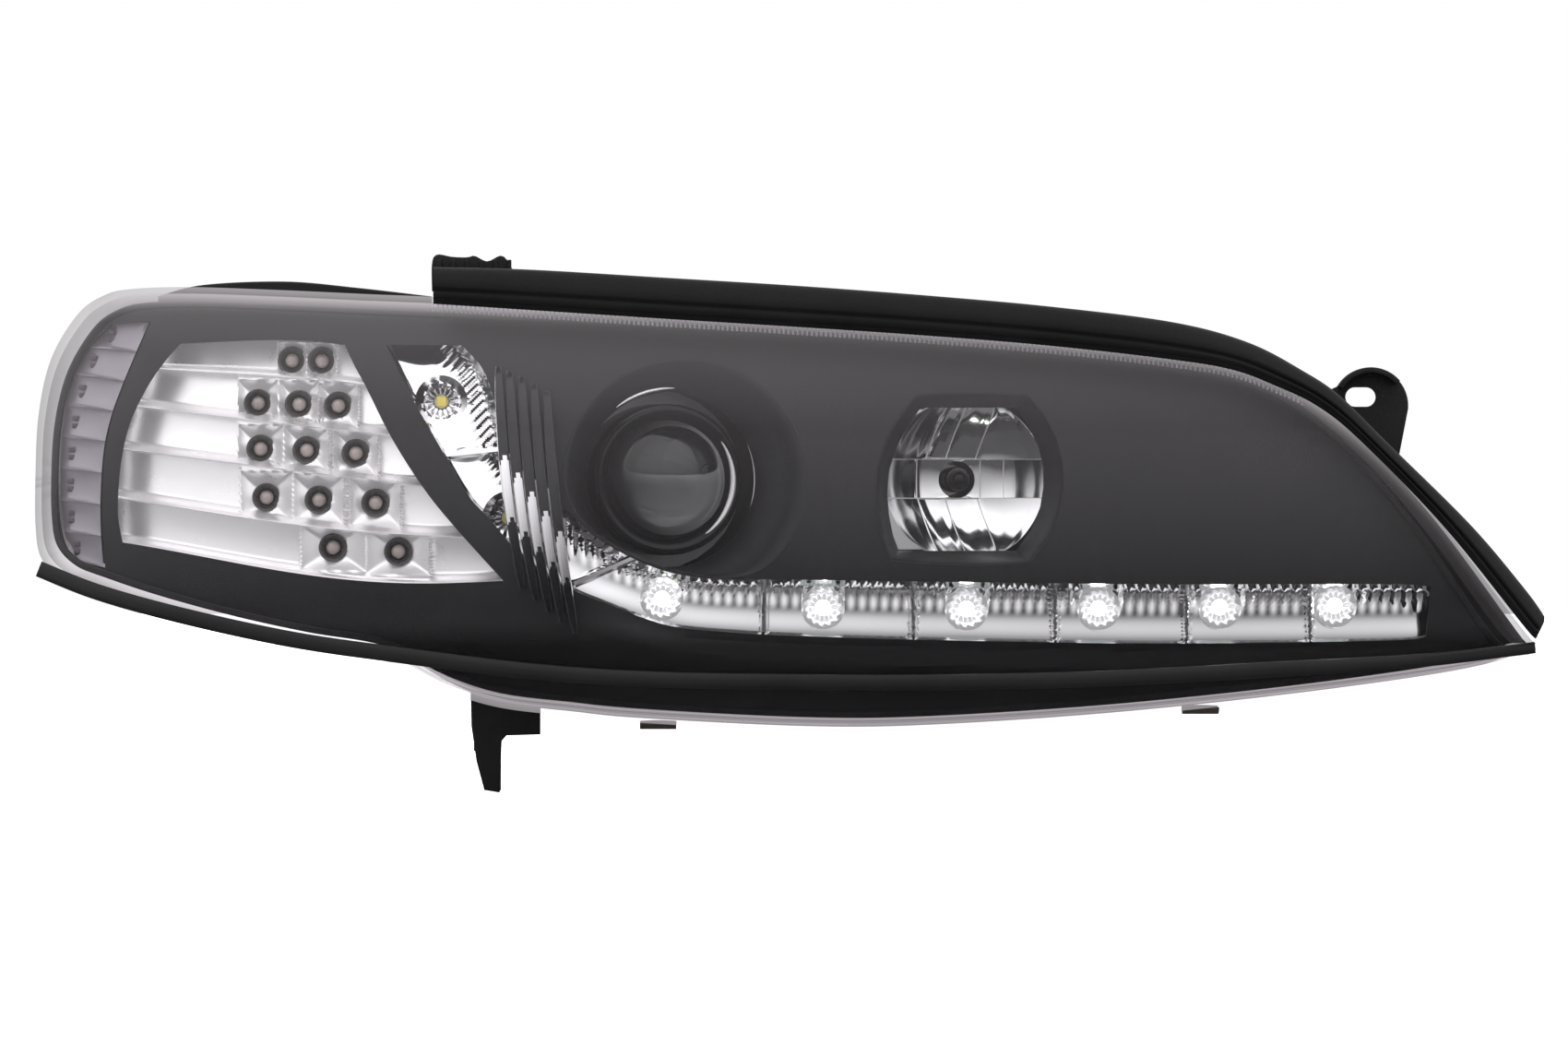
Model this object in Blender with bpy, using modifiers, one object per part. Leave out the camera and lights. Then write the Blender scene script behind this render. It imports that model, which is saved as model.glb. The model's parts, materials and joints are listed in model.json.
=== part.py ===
"""Right-hand car headlight with a low-beam projector, a high-beam reflector, an LED
indicator and an LED daylight strip, built as an assembly of separate pieces.

+X points along the lens towards the grille, +Y points back into the car, +Z is up.
The origin is DATUM, on the back face of the inboard mounting ear. The shapes are laid out
from the front vertex of the low-beam projector lens, and a parent empty moves them all.
Lengths are in millimetres until MM turns them into metres. The optics look TOE degrees off
-Y, towards +X, and have their own frame: X across, Y back along the beam axis, Z up.
"""

import math

import bmesh
import bpy
from mathutils import Vector

MM = 0.001
GAP = 0.35
TOE = math.radians(12)
DATUM = (272, 32, 22)

# Lens face: where its outer skin lies, and how it falls back from its crown.
FACE_LEFT = -256
FACE_RIGHT = 344.5
FRONT_Y = -36
CROWN_X = 130
BROW_Z = -30
WRAP_DEPTH = 100
TIP_DEPTH = 30
TOP_LEAN = 34
TOP_REACH = 107
CHIN_LEAN = 15
CHIN_REACH = 70

COLUMNS = 21
LENS_WALL = 2.6
LENS_RETURN = 30
BEAD_DEEP = 1.6
RIM_DEEP = 6
BEZEL_SETBACK = 16
BEZEL_WALL = 1.8
TUB_WALL = 2.6
BACK_Y = 125
BACK_Y_TIP = 52

# Beam units, in the optical frame.
LOW_X = 0
HIGH_X = 115
HIGH_FRONT = -15
LENS_R = 25
HOLDER_R = 30
PLATE_Y = 60
BALL_Y = 66
BALL_R = 5
PIVOT_X = 57.5
PIVOT_Z = 36
LEVEL_Z = -44
PAN_X = -60
NECK_R = 39
CAP_R = 43
LOW_NECK_END = 148
HIGH_NECK_END = 124
PAN_BOSS_END = 146
LEVEL_BOSS_END = 121
CLIP_PIVOT_Z = -15

# Outlines on the face, (x, z), each from its outboard end to its inboard end.
UPPER_EDGE = [(-256, 0), (-255, 26), (-250, 49), (-239, 67), (-228, 74.3), (-217, 76.5), (-194, 77),
              (-157, 75.5), (-120, 73.6), (-95, 72.5), (-3, 68), (99, 61.4), (197, 52), (238, 42),
              (270, 21.5), (303, -12), (335.5, -53), (344.5, -65)]
LOWER_EDGE = [(-256, 0), (-255.8, -18), (-253.5, -31), (-245, -39.5), (-233, -44), (-209, -51.5),
              (-178, -59.5), (-147, -66), (-115, -71.5), (-91, -83), (-69, -90), (-40, -93.5), (-14, -96),
              (51, -99.2), (99, -98.8), (172, -94), (249, -86), (315, -77), (336, -71), (344.5, -65)]
SEAL_LOW = [(-95, 71), (-57, 68.4), (-3, 64.8), (50, 61.5), (99, 58.2), (148, 54.2), (197, 48.7),
            (221, 44.7), (238, 38.4), (254, 30.7), (270.5, 17.6), (303, -15.7), (335.5, -55.6), (341, -61.5)]
SEAL_HIGH = [(-95, 84.2), (-57, 83.1), (-3, 79.8), (50, 76.5), (99, 72.8), (148, 68.4), (197, 62.2),
             (227, 54.2), (249, 42.8), (263.5, 32.9), (282, 14.6), (315, -17.9), (336.7, -43.2), (344.8, -54.2)]
TRIM_MIDDLE = [(-254, -35.5), (-233, -43.6), (-209, -50.5), (-178, -57.8), (-147, -63.9), (-115, -68.4),
               (-58, -75.4), (-11, -78.7), (44, -79.8), (99, -80), (165, -78.7), (230, -75.4), (295, -71.5),
               (341, -66.5)]
INDICATOR_LEFT = [(-220, -25), (-222, -13), (-221, 5.5), (-217.5, 22), (-211, 36), (-204, 46.5), (-197, 54.5)]
INDICATOR_RIGHT = [(-67, -40), (-86.5, -18.5), (-99, -3), (-111.5, 16.5), (-121.5, 36), (-127, 46),
                   (-130.5, 53.5)]
MARKER_LEFT = [(-236, -28), (-239.5, -20), (-241, -8), (-241, 10), (-239.5, 28), (-236, 43), (-227, 56)]
MARKER_RIGHT = [(-227.5, -29), (-229, -20), (-229, 0), (-227.2, 15), (-224.5, 27), (-218, 44), (-210, 57)]
STRIP_OUTER = [(-114, 53.5), (-104, 33.5), (-92.4, 13.2), (-81, -6.2), (-71.4, -16.8), (-59.7, -30.7),
               (-51, -37.3), (-38, -44.3), (-28, -48.3), (-13, -54.2), (1, -58.2), (24, -60.4), (44, -61.5),
               (99, -63.3), (190, -64.8), (282, -63.7), (298, -62.2)]
STRIP_INNER = [(-84, 53.3), (-75.5, 43.9), (-70.3, 30), (-67.3, 17.2), (-62, 5.5), (-53, -3.7), (-41.7, -12.1),
               (-34, -20.1), (-22.3, -27.8), (-7.3, -34.8), (7, -38.3), (24, -39.5), (44, -39.5), (99, -40.3),
               (190, -41.4), (282, -41.4), (300, -42.5)]

# LED places on the face, (x, z). Each indicator row has its own board.
INDICATOR_ROWS = [[(-152, 47.5), (-140, 47.3)],
                  [(-165.5, 30.5), (-149, 30), (-133.2, 29.4)],
                  [(-164.3, 12.3), (-145.7, 11.7), (-126, 10.5)],
                  [(-161.8, -7), (-140.7, -8), (-118, -9.2)],
                  [(-135, -26.9), (-108.9, -28.5)]]
INDICATOR_LED_R = 5.6
INDICATOR_RIB_SHARES = [0.205, 0.43, 0.64, 0.845]
STRIP_LEDS = [(-92, 31), (-65, -15), (-4.4, -47.2), (59.3, -50.7), (116, -51.2), (168.3, -51),
              (216.3, -50.5), (262, -50)]
FIN_TOPS = [(-69.3, 44.7), (-64.8, 43), (-60, 40.6), (-55, 38), (-50, 35.2)]
FIN_FEET = [(-59.3, -43.2), (-53.9, -47.8), (-48.7, -52.3), (-43.6, -56.6), (-38.4, -61.1)]

MODEL = "headlight"
CUTTERS = "cutters"
LAYOUT = "layout_frame"

materials = {}
palette = {
    "black_plastic": ((0.02, 0.02, 0.022), 0.55, 0.0),
    "bezel_black": ((0.035, 0.035, 0.037), 0.4, 0.0),
    "chrome": ((0.86, 0.86, 0.88), 0.08, 1.0),
    "clear_plastic": ((0.9, 0.9, 0.92), 0.03, 0.0),
    "rubber": ((0.015, 0.015, 0.016), 0.8, 0.0),
    "steel": ((0.5, 0.5, 0.5), 0.35, 1.0),
    "cast_metal": ((0.42, 0.42, 0.43), 0.5, 1.0),
    "glass": ((0.9, 0.93, 0.95), 0.02, 0.0),
    "board_green": ((0.03, 0.13, 0.06), 0.5, 0.0),
    "led_cream": ((0.85, 0.8, 0.5), 0.3, 0.0),
    "grey_lens": ((0.42, 0.4, 0.43), 0.25, 0.0),
    "nylon": ((0.75, 0.74, 0.7), 0.45, 0.0),
}


# ---------------------------------------------------------------- scene and helpers

def clear_scene():
    for obj in list(bpy.data.objects):
        bpy.data.objects.remove(obj)


def make_collection(name, hidden=False):
    made = bpy.data.collections.new(name)
    bpy.context.scene.collection.children.link(made)
    made.hide_render = hidden
    return made


def material(slot):
    if slot not in materials:
        colour, roughness, metallic = palette[slot]
        made = bpy.data.materials.new(slot)
        made.use_nodes = True
        shader = made.node_tree.nodes["Principled BSDF"]
        shader.inputs["Base Color"].default_value = (*colour, 1)
        shader.inputs["Roughness"].default_value = roughness
        shader.inputs["Metallic"].default_value = metallic
        materials[slot] = made
    return materials[slot]


def place(name, data, slot=None, parent=None):
    """An object in the model's collection, or a cutter where it has no material."""
    obj = bpy.data.objects.new(name, data)
    bpy.data.collections[MODEL if slot else CUTTERS].objects.link(obj)
    obj.parent = parent or bpy.data.objects[LAYOUT]
    if slot:
        data.materials.append(material(slot))
    else:
        obj.hide_render = True
        obj.display_type = "WIRE"
    return obj


def tidy(mesh):
    """Welds a mesh, turns its faces outwards and shades its round parts smooth."""
    bm = bmesh.new()
    bm.from_mesh(mesh)
    bmesh.ops.remove_doubles(bm, verts=bm.verts, dist=0.00001)
    bmesh.ops.recalc_face_normals(bm, faces=bm.faces)
    bm.to_mesh(mesh)
    bm.free()
    mesh.shade_smooth()
    mesh.set_sharp_from_angle(angle=math.radians(35))


def bake(obj):
    """Applies an object's modifiers, so that later cuts start from one plain mesh."""
    graph = bpy.context.evaluated_depsgraph_get()
    mesh = bpy.data.meshes.new_from_object(obj.evaluated_get(graph))
    tidy(mesh)
    if obj.type == "MESH":
        obj.modifiers.clear()
        obj.data = mesh
        return obj
    solid = bpy.data.objects.new(obj.name + "_mesh", mesh)
    for group in obj.users_collection:
        group.objects.link(solid)
    solid.parent = obj.parent
    solid.matrix_basis = obj.matrix_basis.copy()
    solid.hide_render = obj.hide_render
    solid.display_type = obj.display_type
    name = obj.name
    bpy.data.objects.remove(obj)
    solid.name = name
    return solid


def combine(obj, others, operation):
    """Joins the others to obj, or cuts them from it, and removes them."""
    bpy.context.view_layer.update()
    for other in others:
        boolean = obj.modifiers.new(operation, "BOOLEAN")
        boolean.operation = operation
        boolean.object = other
    bake(obj)
    for other in others:
        bpy.data.objects.remove(other)
    return obj


def join(obj, *others):
    return combine(obj, others, "UNION")


def cut(obj, *others):
    return combine(obj, others, "DIFFERENCE")


def catmull(a, b, c, d, t):
    return tuple(
        0.5 * (2 * q + (r - p) * t + (2 * p - 5 * q + 4 * r - s) * t * t
               + (3 * q - p - 3 * r + s) * t ** 3)
        for p, q, r, s in zip(a, b, c, d)
    )


def smooth_path(points, count, crowd=1.0):
    """count points along a smooth curve through points; crowd over 1 packs them near its start."""
    padded = [points[0], *points, points[-1]]
    fine = [catmull(*padded[k:k + 4], step / 8) for k in range(len(points) - 1) for step in range(8)]
    fine.append(tuple(points[-1]))
    reach = [0.0]
    for a, b in zip(fine, fine[1:]):
        reach.append(reach[-1] + math.dist(a, b))
    found = []
    k = 0
    for i in range(count):
        want = reach[-1] * (i / (count - 1)) ** crowd
        while k < len(fine) - 2 and reach[k + 1] < want:
            k += 1
        share = (want - reach[k]) / (reach[k + 1] - reach[k])
        found.append(mix(fine[k], fine[k + 1], share))
    return found


def mix(a, b, share):
    return tuple(p + (q - p) * share for p, q in zip(a, b))


def ease(value):
    value = min(1.0, max(0.0, value))
    return value * value * (3 - 2 * value)


def face_y(x, z):
    """Where the lens's outer skin lies at a place on the face."""
    outboard = max(0.0, (CROWN_X - x) / (CROWN_X - FACE_LEFT))
    inboard = max(0.0, (x - CROWN_X) / (FACE_RIGHT - CROWN_X))
    above = max(0.0, (z - BROW_Z) / TOP_REACH)
    below = max(0.0, (BROW_Z - z) / CHIN_REACH)
    sweep = WRAP_DEPTH * outboard ** 4 + TIP_DEPTH * inboard ** 2
    return FRONT_Y + sweep + TOP_LEAN * above ** 2 + CHIN_LEAN * below ** 2


def back_y(x):
    """Where the tub's rear wall lies: level behind the beams, then forward to the tip."""
    return BACK_Y + (BACK_Y_TIP - BACK_Y) * ease((x - 165) / 170)


def mesh_from(bm, name):
    mesh = bpy.data.meshes.new(name)
    bm.to_mesh(mesh)
    bm.free()
    return mesh


def sheet_mesh(name, rows):
    """An open surface through rows of (x, y, z) points, each row as long as the next."""
    bm = bmesh.new()
    grid = [[bm.verts.new(Vector(p) * MM) for p in row] for row in rows]
    for near, far in zip(grid, grid[1:]):
        for a, b, c, d in zip(near, near[1:], far[1:], far):
            bm.faces.new((a, b, c, d))
    bmesh.ops.remove_doubles(bm, verts=bm.verts, dist=0.00002)
    bmesh.ops.recalc_face_normals(bm, faces=bm.faces)
    facing = sum(face.normal.y * face.calc_area() for face in bm.faces)
    if facing > 0:
        bmesh.ops.reverse_faces(bm, faces=bm.faces)
    return mesh_from(bm, name)


def block(name, front, back, slot):
    """A closed solid between two surfaces whose rows run the same way and meet in points at both ends."""
    rows = front + back[::-1]
    bm = bmesh.new()
    grid = [[bm.verts.new(Vector(p) * MM) for p in row] for row in rows]
    for near, far in zip(grid, grid[1:] + grid[:1]):
        for a, b, c, d in zip(near, near[1:], far[1:], far):
            bm.faces.new((a, b, c, d))
    mesh = mesh_from(bm, name)
    tidy(mesh)
    return place(name, mesh, slot)


def shell(name, rows, wall, slot, behind=1, even=True):
    """A sheet through rows, thickened by wall: behind it, or ahead of it where behind is -1."""
    obj = place(name, sheet_mesh(name, rows), slot)
    solid = obj.modifiers.new("wall", "SOLIDIFY")
    solid.thickness = wall * MM
    solid.offset = -behind
    solid.use_even_offset = even
    return bake(obj)


def sweep(name, path, section, slot, closed=False):
    """A loft along path, a list of (x, y, z, share). section(share) gives (out, back) pairs, where out
    runs along the path's normal in the XZ plane and back along +Y."""
    bm = bmesh.new()
    rings = []
    count = len(path)
    for i, (x, y, z, share) in enumerate(path):
        before = path[(i - 1) % count] if closed or i else path[i]
        after = path[(i + 1) % count] if closed or i < count - 1 else path[i]
        along = Vector((after[0] - before[0], after[2] - before[2])).normalized()
        out = Vector((-along.y, along.x))
        rings.append([bm.verts.new(Vector((x + out.x * n, y + back, z + out.y * n)) * MM)
                      for n, back in section(share)])
    pairs = list(zip(rings, rings[1:] + rings[:1])) if closed else list(zip(rings, rings[1:]))
    for near, far in pairs:
        for k in range(len(near)):
            j = (k + 1) % len(near)
            bm.faces.new((near[k], near[j], far[j], far[k]))
    if not closed:
        bm.faces.new(rings[0])
        bm.faces.new(rings[-1])
    bmesh.ops.recalc_face_normals(bm, faces=bm.faces)
    mesh = mesh_from(bm, name)
    tidy(mesh)
    return place(name, mesh, slot)


def turned(name, profile, slot=None, x=0, z=0, steps=24, parent=None, closed=True):
    """Turns (radius, y) points about an axis along Y through x, z."""
    bm = bmesh.new()
    points = [bm.verts.new((r * MM, 0, y * MM)) for r, y in profile]
    for a, b in zip(points, points[1:]):
        bm.edges.new((a, b))
    if closed:
        bm.edges.new((points[-1], points[0]))
    obj = place(name, mesh_from(bm, name), slot, parent)
    screw = obj.modifiers.new("turn", "SCREW")
    screw.steps = screw.render_steps = steps
    screw.use_merge_vertices = True
    screw.merge_threshold = 0.00001
    obj.rotation_euler = (-math.pi / 2, 0, 0)
    obj.location = (x * MM, 0, z * MM)
    bpy.context.view_layer.update()
    return bake(obj)


def tube(name, inner, outer, y0, y1, slot=None, x=0, z=0, steps=24, parent=None):
    return turned(name, [(outer, y1), (outer, y0), (inner, y0), (inner, y1)], slot, x, z, steps, parent)


def rod(name, radius, y0, y1, slot=None, x=0, z=0, steps=16, parent=None):
    profile = [(0, y1), (radius, y1), (radius, y0), (0, y0)]
    return turned(name, profile, slot, x, z, steps, parent, closed=False)


def box(name, low, high, slot=None, parent=None, bevel=0.0):
    bm = bmesh.new()
    bmesh.ops.create_cube(bm, size=1)
    size = [b - a for a, b in zip(low, high)]
    bmesh.ops.scale(bm, vec=[s * MM for s in size], verts=bm.verts)
    if bevel:
        bmesh.ops.bevel(bm, geom=bm.edges, offset=bevel * MM, segments=1, affect="EDGES")
    obj = place(name, mesh_from(bm, name), slot, parent)
    obj.location = [(a + b) / 2 * MM for a, b in zip(low, high)]
    return obj


def plate(name, outline, y0, y1, slot=None, parent=None):
    """A flat outline of (x, z) points, as thick as y0 to y1."""
    curve = bpy.data.curves.new(name, "CURVE")
    curve.dimensions = "2D"
    curve.fill_mode = "BOTH"
    curve.extrude = (y1 - y0) / 2 * MM
    spline = curve.splines.new("POLY")
    spline.points.add(len(outline) - 1)
    spline.use_cyclic_u = True
    for point, (x, z) in zip(spline.points, outline):
        point.co = (x * MM, z * MM, 0, 1)
    obj = place(name, curve, slot, parent)
    obj.rotation_euler = (math.pi / 2, 0, 0)
    obj.location = (0, (y0 + y1) / 2 * MM, 0)
    bpy.context.view_layer.update()
    return bake(obj)


def wire(name, points, radius, slot, parent=None, closed=False):
    """Round wire through (x, y, z) points."""
    curve = bpy.data.curves.new(name, "CURVE")
    curve.dimensions = "3D"
    curve.bevel_depth = radius * MM
    curve.bevel_resolution = 1
    curve.use_fill_caps = not closed
    spline = curve.splines.new("POLY")
    spline.points.add(len(points) - 1)
    spline.use_cyclic_u = closed
    for point, place_at in zip(spline.points, points):
        point.co = (*(c * MM for c in place_at), 1)
    obj = place(name, curve, slot, parent)
    bpy.context.view_layer.update()
    return bake(obj)


def arc(x, z, radius, start, end, count):
    """Points (x, z) on an arc, with angles in degrees from +X towards +Z."""
    angles = [math.radians(start + (end - start) * i / (count - 1)) for i in range(count)]
    return [(x + radius * math.cos(a), z + radius * math.sin(a)) for a in angles]


# ---------------------------------------------------------------- face outlines

lower_edge = smooth_path(LOWER_EDGE, COLUMNS + 1, 1.25)
upper_edge = smooth_path(UPPER_EDGE, COLUMNS + 1, 1.25)


def edge_inset(x, near, far):
    """Inset from the outline's long edges: far at the outboard end, near elsewhere."""
    return near + (far - near) * ease((-60 - x) / 70)


def on_face(column, side, near=0.0, far=0.0, end=0.0, tip=8.0):
    """The (x, z) point at side, -1 for the lower edge to 1 for the upper, of an inset outline."""
    low = lower_edge[column]
    high = upper_edge[column]
    half = (Vector(high) - Vector(low)) / 2
    middle = (Vector(high) + Vector(low)) / 2
    inset = edge_inset(middle.x, near, far)
    keep = half.length / (half.length + inset) if half.length else 0.0
    point = middle + half * side * keep
    reach = FACE_LEFT if point.x < CROWN_X else FACE_RIGHT
    share = (point.x - CROWN_X) / (reach - CROWN_X)
    shift = end if point.x < CROWN_X else -min(end, tip)
    return point.x + shift * share ** 3, point.y


def foot_ring():
    """The lens foot's centre line, round the whole outline: (x, y, z, share)."""
    columns = [(i, -1) for i in range(COLUMNS + 1)] + [(i, 1) for i in range(COLUMNS - 1, 0, -1)]
    ring = []
    for column, side in columns:
        x, z = on_face(column, side, 4.5, 9.5, 10)
        edge_x, edge_z = on_face(column, side)
        ring.append((x, face_y(edge_x, edge_z) + LENS_RETURN, z, 0.0))
    return ring


# ---------------------------------------------------------------- lens, bead and housing

def lens_rows(sides, depth, inset=0.0):
    """Rows over the face, set in by inset and back by depth, with a rounded shoulder at the edge."""
    rows = []
    for side in sides:
        row = []
        for column in range(COLUMNS + 1):
            x, z = on_face(column, side, inset, inset, inset, 2.6 * inset)
            tip = column in (0, COLUMNS)
            shoulder = 5.0 if tip else 5 * abs(side) ** 12
            row.append((x, face_y(x, z) + shoulder + depth, z))
        rows.append(row)
    return rows


def foot_rows(depth, near, far, end, tip, band=6.0):
    """Rows across the plane where the lens's side walls end, level for a band inside the outline."""
    rows = []
    for side, more in ((-1, 0), (-1, band), (1, band), (1, 0)):
        row = []
        for column in range(COLUMNS + 1):
            x, z = on_face(column, side, near + more, far + more, end + more, tip + 2 * more)
            edge_x, edge_z = on_face(column, side)
            row.append((x, face_y(edge_x, edge_z) + LENS_RETURN + depth, z))
        rows.append(row)
    return rows


def front_lens():
    sides = (-1, -0.93, -0.75, -0.45, -0.1, 0.25, 0.55, 0.8, 0.94, 1)
    outer = block("front_lens", lens_rows(sides, 0), foot_rows(0, 3, 8, 8.5, 8), "clear_plastic")
    wall = LENS_WALL
    inner = block("lens_hollow", lens_rows(sides, wall, wall), foot_rows(8, 4 + wall, 9 + wall, 11, 15), None)
    return cut(outer, inner)


def sealant_bead():
    section = [(-1.5, 2 * GAP), (1.5, 2 * GAP), (1.5, 2 * GAP + BEAD_DEEP), (-1.5, 2 * GAP + BEAD_DEEP)]
    return sweep("sealant_bead", foot_ring(), lambda share: section, "rubber", closed=True)


def housing_tub():
    """The tub behind the lens, with the rim that the lens is bonded to."""
    rim_front = 6 * GAP + BEAD_DEEP
    rim = block("housing", foot_rows(rim_front, 1.5, 6, 5.5, 5, 14),
                foot_rows(rim_front + RIM_DEEP, 1.5, 6, 5.5, 5, 14), "black_plastic")
    tub = block("tub", tub_rows(rim_front + 3, 0, 0), tub_rows(0, 1, 0), "black_plastic")
    hollow = block("tub_hollow", tub_rows(-40, 0, TUB_WALL), tub_rows(-TUB_WALL, 1, TUB_WALL), None)
    return cut(join(rim, tub), hollow)


def tub_rows(depth, back, wall):
    """Rows across the tub, at its mouth where back is 0 or its rear wall where back is 1."""
    rows = []
    for side in (-1, -0.4, 0.4, 1):
        row = []
        for column in range(COLUMNS + 1):
            draft = 8.5 * back
            x, z = on_face(column, side, 4.5 + draft + wall, 8 + draft * 0.8 + wall, 9 + draft * 0.7 + wall,
                           8 + draft * 0.4 + 2.5 * wall)
            edge = on_face(column, side)
            middle = on_face(column, 0)
            start = back_y(x) if back else max(face_y(*edge), face_y(*middle)) + LENS_RETURN
            row.append((x, start + depth, z))
        rows.append(row)
    return rows


def mounting_tab():
    """The inboard ear with its slotted hole, its stiffening web and the rib that ties it in."""
    outline = arc(277, 29.5, 15.2, -5, 150, 12) + [(248, 30), (262, -8), (284, -14)]
    ear = plate("ear", outline, 28, 32, "black_plastic")
    web = plate("web", arc(277, 29.5, 15.2, 60, 150, 8) + arc(277, 29.5, 12.6, 150, 60, 8), 20, 28.5,
                "black_plastic")
    slot = arc(275.4, 32.9, 3.85, -90, 90, 7) + arc(271, 32.9, 3.85, 90, 270, 7)
    ear = cut(join(ear, web), plate("slot", slot, 15, 40))
    return ear


def bottom_leg():
    """The tapered leg under the housing, with its short locating arm."""
    outline = [(-81, -78), (-80.5, -98), (-78.5, -112), (-75.4, -123.5), (-69.2, -124.5), (-68.4, -104),
               (-66.5, -101.8), (-53, -101.4), (-53, -78)]
    leg = plate("leg", outline, 30, 34, "black_plastic")
    rib = box("leg_rib", (-71.5, 33, -124), (-69, 52, -78), "black_plastic")
    return join(leg, rib)


def top_lug():
    """The upper bracket behind the seal strip: a ribbed block with a flat seat."""
    outline = [(-96, 75), (-96, 86), (-94, 89.5), (-88, 88.6), (-82, 88.4), (-79, 89), (-74, 86.8), (-68, 89),
               (-64, 83), (-62, 75)]
    lug = plate("lug", outline, 23, 50, "black_plastic")
    foot = box("lug_foot", (-95, 43, 60), (-63, 49, 80), "black_plastic")
    slot = box("lug_slot", (-90, 28, 80), (-70, 40, 100))
    return cut(join(lug, foot), slot)


def brow_rib():
    """The housing's upper stiffening rib, which stands a little above the lens at the outboard end."""
    crest = smooth_path([(-208, 74), (-190, 78.6), (-157, 80), (-128, 77.5), (-98, 74)], 12)
    return plate("brow", crest + [(-98, 56.5), (-207, 56.5)], 99.3, 112, "black_plastic")


def housing(optics):
    body = join(housing_tub(), mounting_tab(), bottom_leg(), top_lug(), brow_rib())
    necks = []
    bores = []
    for name, x, end in (("low", LOW_X, LOW_NECK_END), ("high", HIGH_X, HIGH_NECK_END)):
        base = 90 if name == "high" else 116
        necks.append(tube(name + "_neck", NECK_R - 3, NECK_R, base, end, "black_plastic", x, steps=20,
                          parent=optics))
        bores.append(rod(name + "_bore", NECK_R - 2.9, base - 10, end + 10, None, x, steps=20, parent=optics))
    level_boss = rod("level_boss", 22, 110, LEVEL_BOSS_END, "black_plastic", PIVOT_X, LEVEL_Z, 24, optics)
    level_bore = rod("level_bore", 6, 100, 150, None, PIVOT_X, LEVEL_Z, 16, optics)
    pan_boss = rod("pan_boss", 11, 130, PAN_BOSS_END, "black_plastic", PAN_X, PIVOT_Z, 20, optics)
    pan_bore = rod("pan_bore", 4, 120, 160, None, PAN_X, PIVOT_Z, 16, optics)
    pivot_boss = rod("pivot_boss", 7, 98, 120, "black_plastic", PIVOT_X, PIVOT_Z, 20, optics)
    pivot_bore = rod("pivot_bore", 3.4, 90, 116, None, PIVOT_X, PIVOT_Z, 16, optics)
    body = join(body, *necks, level_boss, pan_boss, pivot_boss)
    return cut(body, *bores, level_bore, pan_bore, pivot_bore)


# ---------------------------------------------------------------- trim on the outside

def top_seal_strip():
    """The black strip over the lens's upper edge, with a groove along its lower third."""
    low = smooth_path(SEAL_LOW, 19)
    high = smooth_path(SEAL_HIGH, 19)
    rows = []
    for share, proud in ((0.0, 3.2), (0.22, 5.5), (0.3, 4.4), (0.4, 5.2), (0.9, 3.0), (1.0, 1.0)):
        row = []
        for a, b in zip(low, high):
            x, z = mix(a, b, share)
            row.append((x, face_y(*a) - proud, z))
        rows.append(row)
    roof = []
    for a, b in zip(low, high):
        roof.append((b[0], face_y(*a) + 15, b[1]))
    return shell("top_seal_strip", [*rows, roof], 1.8, "rubber")


def bottom_trim_strip():
    """The moulding that crosses the lens above its lower lip."""
    path = []
    for x, z in smooth_path(TRIM_MIDDLE, 27):
        share = (x - FACE_LEFT) / (FACE_RIGHT - FACE_LEFT)
        path.append((x, face_y(x, z), z, share))

    def section(share):
        half = 3.2 - 0.9 * ease((share - 0.8) / 0.2)
        return [(-half, -0.9), (half, -0.9), (half, -2.6), (half * 0.4, -3.8), (-half * 0.5, -3.8),
                (-half, -2.8)]
    return sweep("bottom_trim_strip", path, section, "black_plastic")


def lens_clip(name, x, depth):
    """A folded spring-steel clip over the lens foot and the housing rim."""
    column = min(range(COLUMNS + 1), key=lambda i: abs(lower_edge[i][0] - x))
    low = on_face(column, -1, 4.5, 9.5, 10)
    edge = on_face(column, -1)
    foot_y = face_y(*edge) + LENS_RETURN
    z = low[1] - 5.8
    rows = []
    for dy, dz in ((-12, 1.2), (-6, -0.4), (0, -0.9), (6, -0.9), (depth, -0.9), (depth + 2.2, 1.5)):
        rows.append([(x - 7.2, foot_y + dy, z + dz), (x + 7.2, foot_y + dy, z + dz)])
    return shell(name, rows, 0.8, "steel", behind=0)


# ---------------------------------------------------------------- bezel and lamps behind it

def bezel_rows(sides, shift):
    rows = []
    for side in sides:
        row = []
        for column in range(COLUMNS + 1):
            x, z = on_face(column, side, 8, 9.5, 9 if column < COLUMNS / 2 else 16, 16)
            row.append((x, face_y(x, z) + BEZEL_SETBACK + shift, z))
        rows.append(row)
    return rows


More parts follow.
